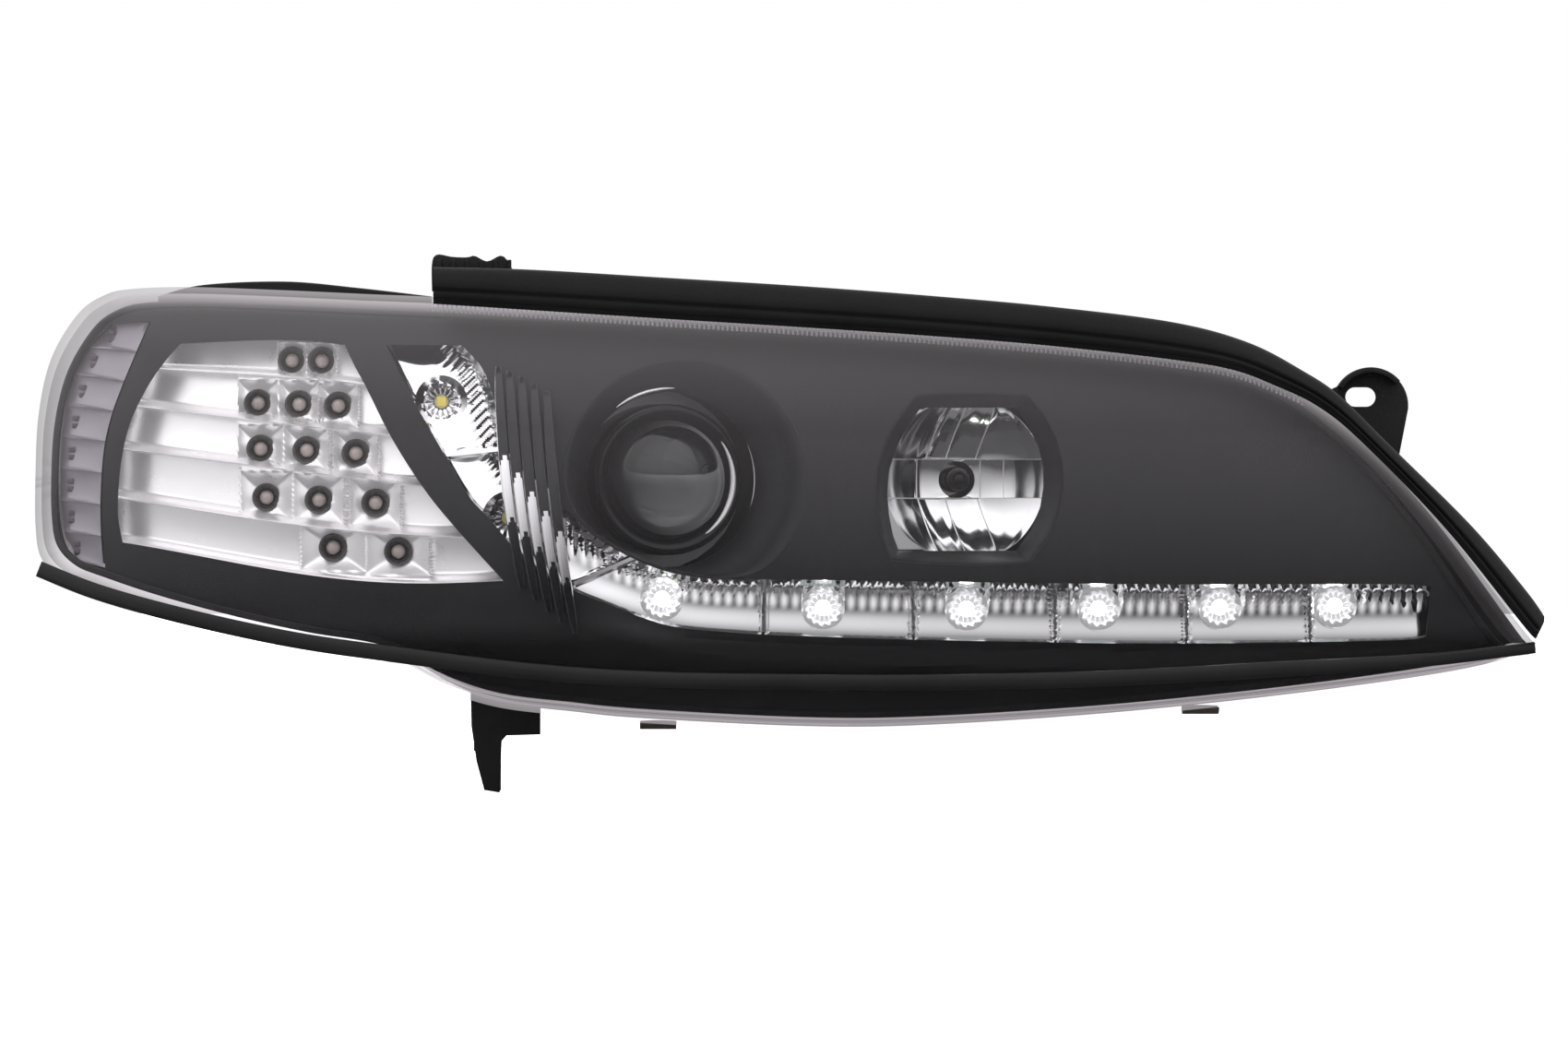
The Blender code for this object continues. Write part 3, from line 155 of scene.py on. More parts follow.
TRIM_MIDDLE = [(-254, -35.5), (-233, -43.6), (-209, -50.5), (-178, -57.8), (-147, -63.9), (-115, -68.4),
               (-58, -75.4), (-11, -78.7), (44, -79.8), (99, -80), (165, -78.7), (230, -75.4), (295, -71.5),
               (341, -66.5)]
INDICATOR_LEFT = [(-220, -25), (-222, -13), (-221, 5.5), (-217.5, 22), (-211, 36), (-204, 46.5), (-197, 54.5)]
INDICATOR_RIGHT = [(-67, -40), (-86.5, -18.5), (-99, -3), (-111.5, 16.5), (-121.5, 36), (-127, 46),
                   (-130.5, 53.5)]
MARKER_LEFT = [(-240, -32), (-244.5, -23), (-246.5, -9), (-246.6, 10), (-244.5, 30), (-239, 48), (-226, 62.5)]
MARKER_RIGHT = [(-227.2, -35), (-228.4, -20), (-228.5, -4), (-227.2, 13), (-224, 27), (-217.6, 44), (-209.5, 63)]
STRIP_OUTER = [(-114, 53.5), (-104, 33.5), (-92.4, 13.2), (-81, -6.2), (-71.4, -16.8), (-59.7, -30.7),
               (-51, -37.3), (-38, -44.3), (-28, -48.3), (-13, -54.2), (1, -58.2), (24, -60.4), (44, -61.5),
               (99, -63.3), (190, -64.8), (282, -63.7), (298, -62.2)]
STRIP_INNER = [(-84, 53.3), (-75.5, 43.9), (-70.3, 30), (-67.3, 17.2), (-62, 5.5), (-53, -3.7), (-41.7, -12.1),
               (-34, -20.1), (-22.3, -27.8), (-7.3, -34.8), (7, -38.3), (24, -39.5), (44, -39.5), (99, -40.3),
               (190, -41.4), (282, -41.4), (300, -42.5)]

# The high beam's opening, (x, z) from its centre.
HIGH_OPENING = [(-18.1, 28.4), (20.3, 28.4), (25.6, 21.4), (29.6, 13.2), (31.5, 5), (31.6, -3), (30.2, -11.5),
                (26.6, -20), (20.3, -28.2), (-27, -28.2), (-29.4, -22), (-31, -14), (-31.7, -5), (-30.9, 4),
                (-27.8, 13), (-23.6, 21)]

# The dish round the projector: (bearing in degrees, radius).
LOW_DISH = [(0, 47.6), (180, 47.4), (190, 46.2), (200, 44.0), (210, 41.2), (220, 38.6), (230, 36.8), (240, 35.8),
            (250, 35.4), (262, 35.6), (272, 36.6), (282, 38.6), (292, 41.4), (302, 44.6), (312, 46.8), (325, 47.6),
            (360, 47.6)]

# LED places on the face, (x, z).
INDICATOR_ROWS = [[(-152, 47.5), (-140, 47.3)],
                  [(-165.5, 30.5), (-149, 30), (-133.2, 29.4)],
                  [(-164.3, 12.3), (-145.7, 11.7), (-126, 10.5)],
                  [(-161.8, -7), (-140.7, -8), (-118, -9.2)],
                  [(-135, -26.9), (-108.9, -28.5)]]
INDICATOR_LED_R = 5.6
INDICATOR_LEDGES = [0.0, 0.205, 0.43, 0.64, 0.845, 1.0]
INDICATOR_SAG = 5.7
INDICATOR_CROWN = 1.8
STRIP_LEDS = [(-92, 31), (-65, -15), (-4.4, -47.2), (59.3, -50.7), (116, -51.2), (168.3, -51),
              (216.3, -50.5), (262, -50)]
STRIP_DIVIDERS = [36, 95, 151, 203, 252]
FIN_TOPS = [(-69.3, 44.7), (-64.8, 43), (-60, 40.6), (-55, 38), (-50, 35.2)]
FIN_FEET = [(-59.3, -43.2), (-53.9, -47.8), (-48.7, -52.3), (-43.6, -56.6), (-38.4, -61.1)]
FIN_SECTION = [(-1, 0), (-1, 0.78), (-0.86, 0.9), (-0.6, 0.86), (-0.2, 0.85), (0.2, 0.85), (0.6, 0.86),
               (0.86, 0.9), (1, 0.78), (1, 0)]
FIRST_LIT = 3
CUP_R = (10.4, 8.6)
MARKER_CELLS = 8
MIRROR_WALL = 1.2
INNER_LENS_WALL = 1.4

# Light: the height range of a noise, the scale of colour patches, and the tent's brightness overhead.
NOISE_RANGE = (0.3, 0.7)
PATCH_SCALE = 28
TENT_TOP = 1.35

looks = {}


# ---------------------------------------------------------------- materials

def add(tree, kind, inputs=None, **settings):
    """A shader node, with its inputs set to values or linked from sockets."""
    node = tree.nodes.new("ShaderNode" + kind)
    for key, value in settings.items():
        setattr(node, key, value)
    for key, value in (inputs or {}).items():
        if isinstance(value, bpy.types.NodeSocket):
            tree.links.new(value, node.inputs[key])
        else:
            node.inputs[key].default_value = value
    return node


def new_look(name):
    made = bpy.data.materials.new(name)
    made.use_nodes = True
    looks[name] = made
    tree = made.node_tree
    return tree, tree.nodes["Principled BSDF"], add(tree, "TexCoord").outputs["Object"]


def noise(tree, at, scale, detail=3.0):
    return add(tree, "TexNoise", {"Vector": at, "Scale": scale, "Detail": detail}).outputs["Fac"]


def maths(tree, operation, *values):
    return add(tree, "Math", dict(enumerate(values)), operation=operation).outputs[0]


def remap(tree, value, start, stop, low, high):
    """value scaled from the range start to stop to the range low to high."""
    limits = {"Value": value, "From Min": start, "From Max": stop, "To Min": low, "To Max": high}
    return add(tree, "MapRange", limits).outputs["Result"]


def spread(tree, value, low, high):
    """value, a noise that mostly lies in NOISE_RANGE, spread from low to high."""
    return remap(tree, value, *NOISE_RANGE, low, high)


def tint(tree, value, dark, light):
    ramp = add(tree, "ValToRGB", {"Fac": value})
    for stop, place, colour in zip(ramp.color_ramp.elements, NOISE_RANGE, (dark, light)):
        stop.position = place
        stop.color = (*colour, 1)
    return ramp.outputs["Color"]


def split_xyz(tree, kind):
    """The X, Y and Z sockets of one kind of texture coordinate."""
    return add(tree, "SeparateXYZ", {"Vector": add(tree, "TexCoord").outputs[kind]}).outputs


def finish_look(name, colour, roughness, metallic, grain, bump, vary, more):
    """An opaque finish: colour drifts in broad patches, and fine grain drives roughness and bump.
    more sets the shader's other inputs."""
    tree, shader, at = new_look(name)
    broad = noise(tree, at, PATCH_SCALE, 4)
    fine = noise(tree, at, grain)
    tree.links.new(tint(tree, broad, [c * (1 - vary) for c in colour], [min(1, c * (1 + vary)) for c in colour]),
                   shader.inputs["Base Color"])
    tree.links.new(spread(tree, fine, roughness * 0.82, min(1, roughness * 1.2)), shader.inputs["Roughness"])
    height = add(tree, "Bump", {"Strength": bump, "Distance": 0.0002, "Height": fine})
    tree.links.new(height.outputs["Normal"], shader.inputs["Normal"])
    shader.inputs["Metallic"].default_value = metallic
    for key, value in more.items():
        shader.inputs[key].default_value = value
    return tree, shader


def sky(tree, height):
    """How bright the tent is to a mirror that faces this height of it: bright above and dim below."""
    return remap(tree, height, -0.2, 0.5, 0.07, TENT_TOP)


def clear_look(name, colour, haze, gloss, roughness, edge=1.0):
    """Thin clear plastic: mirror-like at grazing angles, see-through elsewhere, with a faint haze.
    edge is how much light comes through a wall seen edge on. With no roughness, its reflection is painted: an
    emission as bright as the tent at the reflected height, with a painted glare band high up, which adds no noise."""
    tree, shader, at = new_look(name)
    tree.nodes.remove(shader)
    fine = noise(tree, at, 260, 2)
    ripple = add(tree, "Bump", {"Strength": 0.05, "Distance": 0.0004, "Height": noise(tree, at, 45, 2)})
    facing = add(tree, "LayerWeight", {"Blend": 0.5, "Normal": ripple.outputs["Normal"]}).outputs["Facing"]
    grazing = maths(tree, "POWER", facing, 3.2)
    share = maths(tree, "MULTIPLY_ADD", grazing, 2.6 * gloss, 0.045 * gloss)
    edge_colour = [c * edge for c in colour]
    through = add(tree, "BsdfTransparent", {"Color": tint(tree, facing, colour, edge_colour)}).outputs[0]
    if roughness:
        mirror = add(tree, "BsdfGlossy", {"Color": (1, 1, 1, 1), "Normal": ripple.outputs["Normal"],
                                          "Roughness": spread(tree, fine, roughness * 0.6, roughness * 1.6)})
    else:
        # Painted reflection: a faintly mauve emission as bright as the tent at the reflected height, with a painted
        # glare band for reflections high up.
        height = split_xyz(tree, "Reflection")["Z"]
        painted_glare = remap(tree, height, 0.55, 0.9, 0, 2.4)
        bright = maths(tree, "ADD", sky(tree, height), painted_glare)
        mirror = add(tree, "Emission", {"Color": (1, 0.94, 0.97, 1), "Strength": bright})
        bpy.data.materials[name].cycles.emission_sampling = "NONE"
    milk = add(tree, "BsdfDiffuse", {"Color": (0.86, 0.84, 0.88, 1)}).outputs[0]
    clouds = spread(tree, noise(tree, at, 9, 3), haze * 0.7, haze * 1.3)
    hazed = add(tree, "MixShader", {0: clouds, 1: through, 2: milk}).outputs[0]
    mixed = add(tree, "MixShader", {0: share, 1: hazed, 2: mirror.outputs[0]}).outputs[0]
    tree.links.new(mixed, tree.nodes["Material Output"].inputs["Surface"])


def paint_bezel_shade(tree, shader):
    """Paints shade onto the bezel's lower ledge: below it, except at the outboard end, its colour and shine drop to
    about a fifth of the face's.
    """
    parts = split_xyz(tree, "Object")
    face = remap(tree, parts["Z"], -0.088, -0.079, 0.22, 1)
    outboard = remap(tree, parts["X"], -0.43, -0.35, 1, 0)
    keep = maths(tree, "MAXIMUM", face, outboard)
    colour = shader.inputs["Base Color"].links[0].from_socket
    darker = add(tree, "VectorMath", {0: colour, "Scale": keep}, operation="SCALE")
    tree.links.new(darker.outputs[0], shader.inputs["Base Color"])
    tree.links.new(maths(tree, "MULTIPLY", keep, 0.24), shader.inputs["Specular IOR Level"])


def make_looks():
    """Every look. A finish's numbers are its roughness, metallic share, grain scale, bump and colour drift."""
    for name, colour, numbers, more in (
            ("black_plastic", (0.009, 0.009, 0.0095), (0.5, 0, 1400, 0.35, 0.2),
             {"Specular IOR Level": 0.22}),
            ("bezel_black", (0.013, 0.0125, 0.0136), (0.42, 0, 1500, 0, 0.06), {}),
            ("chrome", (0.93, 0.93, 0.94), (0.09, 1, 300, 0.02, 0.02), {}),
            # Painted glow: a faint emission brightens this chrome, and the highlight lines and arcs drawn in it.
            ("bright_chrome", (0.98, 0.965, 0.975), (0.3, 0.8, 60, 0, 0.01),
             {"Emission Color": (1, 0.985, 0.995, 1), "Emission Strength": 0.08}),
            ("rubber", (0.007, 0.007, 0.0075), (0.6, 0, 1900, 0.4, 0.2), {"Specular IOR Level": 0.16}),
            ("steel", (0.56, 0.55, 0.53), (0.34, 1, 700, 0.15, 0.12), {}),
            ("dark_steel", (0.13, 0.1, 0.09), (0.4, 0.8, 700, 0.2, 0.25), {}),
            ("cast_metal", (0.42, 0.42, 0.43), (0.45, 1, 900, 0.5, 0.12), {}),
            ("dark_metal", (0.022, 0.022, 0.023), (0.2, 1, 900, 0, 0.12), {}),
            ("board_green", (0.03, 0.13, 0.06), (0.45, 0, 600, 0.2, 0.25), {}),
            ("nylon", (0.74, 0.73, 0.69), (0.42, 0, 1500, 0.15, 0.05), {"Subsurface Weight": 0.1}),
            ("led_ring", (0.09, 0.085, 0.085), (0.35, 0.5, 900, 0.1, 0.1), {}),
            ("led_dome", (0.36, 0.31, 0.29), (0.12, 0, 500, 0.05, 0.15), {"Coat Weight": 0.6}),
            ("led_cream", (0.82, 0.78, 0.52), (0.3, 0, 800, 0.1, 0.06), {}),
            ("led_chip", (0.9, 0.74, 0.12), (0.35, 0, 1200, 0.1, 0.12), {}),
            ("grey_lens", (0.25, 0.23, 0.26), (0.22, 0.3, 500, 0.06, 0.1), {"Coat Weight": 0.5}),
            ("marker_chip", (0.1, 0.09, 0.105), (0.3, 0.2, 900, 0.1, 0.1), {}),
            ("brass", (0.75, 0.56, 0.28), (0.3, 1, 800, 0.1, 0.08), {}),
            ("fin_gloss", (0.88, 0.87, 0.89), (0.2, 0.9, 300, 0.03, 0.05), {}),
            ("fin_dark", (0.006, 0.006, 0.007), (0.12, 0, 300, 0, 0.1), {"Specular IOR Level": 0.4}),
            ("glow", (1, 1, 1), (0.3, 0, 500, 0.02, 0),
             {"Emission Color": (0.95, 0.97, 1, 1), "Emission Strength": 8}),
            ("glass", (0.5, 0.505, 0.52), (0.02, 0, 300, 0.01, 0.01), {"Transmission Weight": 1, "IOR": 1.5}),
            # Painted light: chrome with a faint emission, for an LED's glow on the cup round it.
            ("lit_chrome", (0.97, 0.97, 0.98), (0.12, 1, 300, 0.02, 0.02),
             {"Emission Color": (0.97, 0.98, 1, 1), "Emission Strength": 0.3})):
        tree, shader = finish_look(name, colour, *numbers, more)
        # The bezel's lower ledge gets painted shade.
        if name == "bezel_black":
            paint_bezel_shade(tree, shader)
    clear_look("clear_plastic", (0.985, 0.982, 0.988), 0.003, 0.24, 0, 0.7)
    clear_look("ribbed_plastic", (0.8, 0.79, 0.82), 0.2, 0.7, 0.1)
    clear_look("bulb_glass", (0.97, 0.98, 0.98), 0.01, 0.8, 0.02)


# ---------------------------------------------------------------- shapes

class Shape:
    """Closed bodies in millimetres, gathered until they become one mesh."""

    def __init__(self, frame=LAYOUT):
        self.bm = bmesh.new()
        self.frame = frame
        self.paint = 0

    def point(self, place):
        return self.bm.verts.new(self.frame @ (Vector(place) * MM))

    def face(self, *corners):
        made = self.bm.faces.new(corners)
        made.material_index = self.paint

    def loft(self, rings, round_ring=True, round_run=False, caps=True):
        """Faces through rings of points, each ring as long as the next."""
        grid = [[self.point(p) for p in ring] for ring in rings]
        for near, far in zip(grid, grid[1:] + (grid[:1] if round_run else [])):
            for k in range(len(near) if round_ring else len(near) - 1):
                j = (k + 1) % len(near)
                self.face(near[k], near[j], far[j], far[k])
        if caps and not round_run:
            self.face(*grid[0])
            self.face(*grid[-1])

    def turn(self, profile, x=0, z=0, steps=64, closed=False, ripple=None):
        """Turns (radius, y) points about an axis along Y through x, z. ripple(y, angle) is added to the radius."""
        rings = []
        for k in range(steps):
            a = 2 * math.pi * k / steps
            ring = []
            for r, y in profile:
                r += ripple(y, a) if ripple else 0
                ring.append((x + r * math.cos(a), y, z + r * math.sin(a)))
            rings.append(ring)
        self.loft(rings, round_ring=closed, round_run=True)

    def tube(self, inner, outer, y0, y1, x=0, z=0, steps=64, soft=0.5):
        self.turn([(inner, y0 + soft), (inner + soft, y0), (outer - soft, y0), (outer, y0 + soft),
                   (outer, y1 - soft), (outer - soft, y1), (inner + soft, y1), (inner, y1 - soft)],
                  x, z, steps, closed=True)

    def rod(self, radius, y0, y1, x=0, z=0, steps=48, soft=0.5):
        self.turn([(0, y0), (radius - soft, y0), (radius, y0 + soft), (radius, y1 - soft), (radius - soft, y1),
                   (0, y1)], x, z, steps)

    def bore(self, radius, y0, y1, x=0, z=0, steps=48):
        """A plain cylinder, to cut with."""
        self.turn([(0, y0), (radius, y0), (radius, y1), (0, y1)], x, z, steps)
        return self

    def slab(self, outline, y0, y1, soft=0.6):
        """A flat outline of (x, z) points from y0 to y1, its long edges rounded by soft."""
        rings = []
        for y, sign in ((y0, 1), (y1, -1)):
            for step in (range(4) if sign > 0 else range(3, -1, -1)):
                a = math.pi / 2 * step / 3
                edge = inset(outline, soft * (1 - math.sin(a)))
                rings.append([(px, y + sign * soft * (1 - math.cos(a)), pz) for px, pz in edge])
        self.loft(rings)

    def pad(self, x, z, wide, tall, y0, y1, soft=0.6, corner=1.0):
        """A brick that reaches wide and tall to each side of x, z."""
        self.brick((x - wide, y0, z - tall), (x + wide, y1, z + tall), soft, corner)

    def brick(self, low, high, soft=0.6, corner=1.0):
        """A box with rounded long edges, soft, and upright corners, corner."""
        x0, y0, z0 = low
        x1, y1, z1 = high
        outline = []
        for cx, cz, start in ((x1 - corner, z0 + corner, -90), (x1 - corner, z1 - corner, 0),
                              (x0 + corner, z1 - corner, 90), (x0 + corner, z0 + corner, 180)):
            outline += arc(cx, cz, corner, start, start + 90, 4)
        self.slab(outline, y0, y1, soft)

    def wire(self, points, radius, sides=14):
        """Round wire through points, with flat ends."""
        path = [Vector(p) for p in points]
        side = None
        rings = []
        for k, here in enumerate(path):
            along = (path[min(k + 1, len(path) - 1)] - path[max(k - 1, 0)]).normalized()
            if side is None:
                side = along.orthogonal().normalized()
            side = (side - along * side.dot(along)).normalized()
            other = along.cross(side)
            reach = radius(k) if callable(radius) else radius
            rings.append([here + (side * math.cos(a) + other * math.sin(a)) * reach
                          for a in (2 * math.pi * n / sides for n in range(sides))])
        self.loft(rings)

    def sheet(self, rows, wall, holes=()):
        """A wall behind an open surface, along +Y, with round holes (x, z, radius) left in it."""
        wide = len(rows[0])
        places = [p for row in rows for p in row]
        faces = []
        for i in range(len(rows) - 1):
            for k in range(wide - 1):
                a = i * wide + k
                x, _, z = mix(places[a], places[a + wide + 1], 0.5)
                if all(math.hypot(x - hx, z - hz) > r for hx, hz, r in holes):
                    faces.append((a, a + 1, a + wide + 1, a + wide))
        counts = Counter(frozenset(edge) for f in faces for edge in zip(f, f[1:] + f[:1]))
        rim = [tuple(edge) for edge, count in counts.items() if count == 1]
        for v in {v for edge in rim for v in edge}:
            x, y, z = places[v]
            for hx, hz, r in holes:
                away = math.hypot(x - hx, z - hz)
                if abs(away - r) < HOLE_SNAP:
                    places[v] = (hx + (x - hx) * r / away, y, hz + (z - hz) * r / away)
        used = {v for f in faces for v in f}
        front = {v: self.point(places[v]) for v in used}
        back = {v: self.point((places[v][0], places[v][1] + wall, places[v][2])) for v in used}
        for f in faces:
            self.face(*[front[v] for v in f])
            self.face(*[back[v] for v in reversed(f)])
        for a, b in rim:
            self.face(front[a], front[b], back[b], back[a])

    def mesh(self, name):
        bmesh.ops.remove_doubles(self.bm, verts=self.bm.verts, dist=0.000004)
        bmesh.ops.recalc_face_normals(self.bm, faces=self.bm.faces)
        made = bpy.data.meshes.new(name)
        self.bm.to_mesh(made)
        self.bm.free()
        made.shade_smooth()
        made.set_sharp_from_angle(angle=SHARP)
        return made


def piece(name, shape, slots, body, *nodes):
    """A shown piece from a shape or mesh. slots names its looks, one for each paint number."""
    mesh = shape.mesh(name) if isinstance(shape, Shape) else shape
    obj = bpy.data.objects.new(name, mesh)
    bpy.context.scene.collection.objects.link(obj)
    for slot in slots:
        mesh.materials.append(looks[slot])
    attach(obj, body)
    if nodes:
        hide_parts(*nodes)
    return obj


def merged(shape, *others, operation="UNION"):
    """A mesh of shape joined with the others, or with them cut away."""
    base = bpy.data.objects.new("base", shape.mesh("base") if isinstance(shape, Shape) else shape)
    tools = [bpy.data.objects.new("tool", other.mesh("tool")) for other in others]
    for obj in [base, *tools]:
        bpy.context.scene.collection.objects.link(obj)
    for tool in tools:
        step = base.modifiers.new(operation, "BOOLEAN")
        step.operation = operation
        step.object = tool
    bpy.context.view_layer.update()
    mesh = bpy.data.meshes.new_from_object(base.evaluated_get(bpy.context.evaluated_depsgraph_get()))
    for obj in [base, *tools]:
        bpy.data.objects.remove(obj)
    mesh.shade_smooth()
    mesh.set_sharp_from_angle(angle=SHARP)
    return mesh


def cut(shape, *others):
    return merged(shape, *others, operation="DIFFERENCE")


def plus(shape, mesh):
    """shape with the mesh's faces added to it."""
    shape.bm.from_mesh(mesh)
    return shape


# ---------------------------------------------------------------- curves

def mix(a, b, share):
    return tuple(p + (q - p) * share for p, q in zip(a, b))


def ease(value):
    value = min(1.0, max(0.0, value))
    return value * value * (3 - 2 * value)


def arc(x, z, radius, start, end, count):
    """Points (x, z) on an arc, with angles in degrees from +X towards +Z."""
    angles = [math.radians(start + (end - start) * i / (count - 1)) for i in range(count)]
    return [(x + radius * math.cos(a), z + radius * math.sin(a)) for a in angles]


def catmull(a, b, c, d, t):
    return tuple(
        0.5 * (2 * q + (r - p) * t + (2 * p - 5 * q + 4 * r - s) * t * t
               + (3 * q - p - 3 * r + s) * t ** 3)
        for p, q, r, s in zip(a, b, c, d)
    )


def smooth_path(points, count, crowd=1.0):
    """count points along a smooth curve through points; crowd over 1 packs them near its start."""
    padded = [points[0], *points, points[-1]]
    fine = [catmull(*padded[k:k + 4], step / 16) for k in range(len(points) - 1) for step in range(16)]
    fine.append(tuple(points[-1]))
    reach = [0.0]
    for a, b in zip(fine, fine[1:]):
        reach.append(reach[-1] + math.dist(a, b))
    found = []
    k = 0
    for i in range(count):
        want = reach[-1] * (i / (count - 1)) ** crowd
        while k < len(fine) - 2 and reach[k + 1] < want:
            k += 1
        share = (want - reach[k]) / (reach[k + 1] - reach[k])
        found.append(mix(fine[k], fine[k + 1], share))
    return found


def inset(outline, amount):
    """A closed outline of (x, z) points moved inwards by amount."""
    if amount < 1e-9:
        return list(outline)
    count = len(outline)
    area = sum(a[0] * b[1] - b[0] * a[1] for a, b in zip(outline, outline[1:] + outline[:1]))
    turn = 1 if area > 0 else -1
    moved = []
    for k, (x, z) in enumerate(outline):
        before = Vector((x, z)) - Vector(outline[k - 1])
        after = Vector(outline[(k + 1) % count]) - Vector((x, z))
        first = Vector((-before.y, before.x)).normalized() * turn
        second = Vector((-after.y, after.x)).normalized() * turn
        normal = first + second
        normal = normal / max(0.5, normal.length_squared / 2) if normal.length > 1e-6 else first
        moved.append((x + normal.x * amount, z + normal.y * amount))
    return moved


def window(one_edge, other_edge, count):
    """The closed outline between two edges that run the same way."""
    return smooth_path(one_edge, count) + smooth_path(other_edge, count)[::-1]


def pairs_between(one_edge, other_edge, count, widen):
    """Pairs of points across a window, pushed apart by widen."""
    pairs = []
    for a, b in zip(smooth_path(one_edge, count), smooth_path(other_edge, count)):
        span = (Vector(b) - Vector(a)).normalized() * widen
        pairs.append((tuple(Vector(a) - span), tuple(Vector(b) + span)))
    return pairs


lower_edge = smooth_path(LOWER_EDGE, COLUMNS + 1, 1.25)
upper_edge = smooth_path(UPPER_EDGE, COLUMNS + 1, 1.25)
outline_starts = np.array(lower_edge + upper_edge[::-1])
outline_spans = np.roll(outline_starts, -1, axis=0) - outline_starts


def edge_distance(x, z):
    """How far a place on the face lies from the lens's outline."""
    away = np.array((x, z)) - outline_starts
    square = np.maximum((outline_spans ** 2).sum(axis=1), 1e-9)
    share = np.clip((away * outline_spans).sum(axis=1) / square, 0, 1)
    return float(np.sqrt(((away - outline_spans * share[:, None]) ** 2).sum(axis=1)).min())


def face_y(x, z):
    """Where the lens's outer skin lies at a place on the face."""
    outboard = max(0.0, (CROWN_X - x) / (CROWN_X - FACE_LEFT))
    inboard = max(0.0, (x - CROWN_X) / (FACE_RIGHT - CROWN_X))
    above = max(0.0, (z - BROW_Z) / TOP_REACH)
    below = max(0.0, (BROW_Z - z) / CHIN_REACH)
    fall = WRAP_DEPTH * outboard ** 4 + TIP_DEPTH * inboard ** 2
    return FRONT_Y + fall + TOP_LEAN * above ** 2 + CHIN_LEAN * below ** 2


def back_y(x):
    """Where the tub's rear wall lies: level behind the beams, then forward to the tip."""
    return BACK_Y + (BACK_Y_TIP - BACK_Y) * ease((x - 165) / 170)


def inner_y(x, z):
    """The bezel's front skin, before any step in it."""
    return face_y(x, z) + BEZEL_SETBACK


def on_face(column, side, near=0.0, far=0.0, end=0.0, tip=8.0):
    """The (x, z) point at side, -1 for the lower edge to 1 for the upper, of an inset outline."""
    low = Vector(lower_edge[column])
    high = Vector(upper_edge[column])
    half = (high - low) / 2
    middle = (high + low) / 2
    amount = near + (far - near) * ease((-60 - middle.x) / 70)
    keep = half.length / (half.length + amount) if half.length else 0.0
    point = middle + half * side * keep
    reach = FACE_LEFT if point.x < CROWN_X else FACE_RIGHT
    share = (point.x - CROWN_X) / (reach - CROWN_X)
    shift = end if point.x < CROWN_X else -min(end, tip)
    return point.x + shift * share ** 3, point.y


def ring_columns():
    return [(i, -1) for i in range(COLUMNS + 1)] + [(i, 1) for i in range(COLUMNS - 1, 0, -1)]


def surface(rows, columns, place):
    """Rows of points: place(row, column) for each pair."""
    return [[place(row, column) for column in columns] for row in rows]


def block(shape, front, back):
    """A closed solid between two surfaces whose rows run the same way and meet in points at both ends."""
    shape.loft(front + back[::-1], round_ring=False, round_run=True)


def sweep(shape, path, section, closed=False):
    """A loft of section along path. section holds (out, back) pairs, or gives them for an x: out runs
    along the path's normal in the XZ plane and back along +Y."""
    rings = []
    count = len(path)
    for i, (x, y, z) in enumerate(path):
        before = path[(i - 1) % count] if closed or i else path[i]
        after = path[(i + 1) % count] if closed or i < count - 1 else path[i]
        along = Vector((after[0] - before[0], after[2] - before[2])).normalized()
        out = Vector((-along.y, along.x))
        outline = section(x) if callable(section) else section
        rings.append([(x + out.x * n, y + back, z + out.y * n) for n, back in outline])
    shape.loft(rings, round_run=closed)


# ---------------------------------------------------------------- lens, bead and housing

def lens_rows(sides, depth, amount=0.0):
    """Rows over the face, set in by amount and back by depth, rounded over at the outline."""
    def place(side, column):
        x, z = on_face(column, side, amount, amount, amount, 2.6 * amount)
        near = max(0.0, min(1.0, 1 - (edge_distance(x, z) - amount) / SHOULDER_WIDE))
        return x, face_y(x, z) + SHOULDER * near ** 2.5 + depth, z
    return surface(sides, range(COLUMNS + 1), place)


def foot_row(side, depth, near, far, end, tip):
    """One long edge of the plane where the lens's side walls end."""
    def place(side, column):
        x, z = on_face(column, side, near, far, end, tip)
        return x, face_y(*on_face(column, side)) + LENS_RETURN + depth, z
    return surface([side], range(COLUMNS + 1), place)[0]


def even_sides(count):
    """Places from -1 to 1, closer together at both ends."""
    return [math.sin(math.pi / 2 * (2 * k / (count - 1) - 1)) for k in range(count)]


def front_lens():
    sides = even_sides(61)
    wall = LENS_WALL
    outer, inner = (3, 8, 8.5, 8), (4 + wall, 9 + wall, 11, 15)
    lens = Shape()
    block(lens, [foot_row(-1, 0, *outer), *lens_rows(sides, 0), foot_row(1, 0, *outer)],
          [foot_row(-1, 0, *inner), *lens_rows(sides, wall, wall), foot_row(1, 0, *inner)])
    lens.paint = 1
    for x, z in smooth_path(SEAL_LOW, 260):
        if x < 250:
            y = face_y(x, z)
            lens.loft([[(x - 0.42, y, top), (x, y - 0.4, top), (x + 0.42, y, top), (x, y + 0.6, top)]
                       for top in (z - 0.6, z - 4.4)])
    lens.paint = 0
    lip = [(x, face_y(x, z + 4.6), z + 4.6) for x, z in smooth_path(LOWER_EDGE, 300) if -112 < x < 325]
    sweep(lens, lip, [(-0.5, 0.3), (-0.35, -0.3), (0, -0.5), (0.35, -0.3), (0.5, 0.3)])
    piece("front_lens_cover", lens, ["clear_plastic", "ribbed_plastic"], "housing", "front_lens")


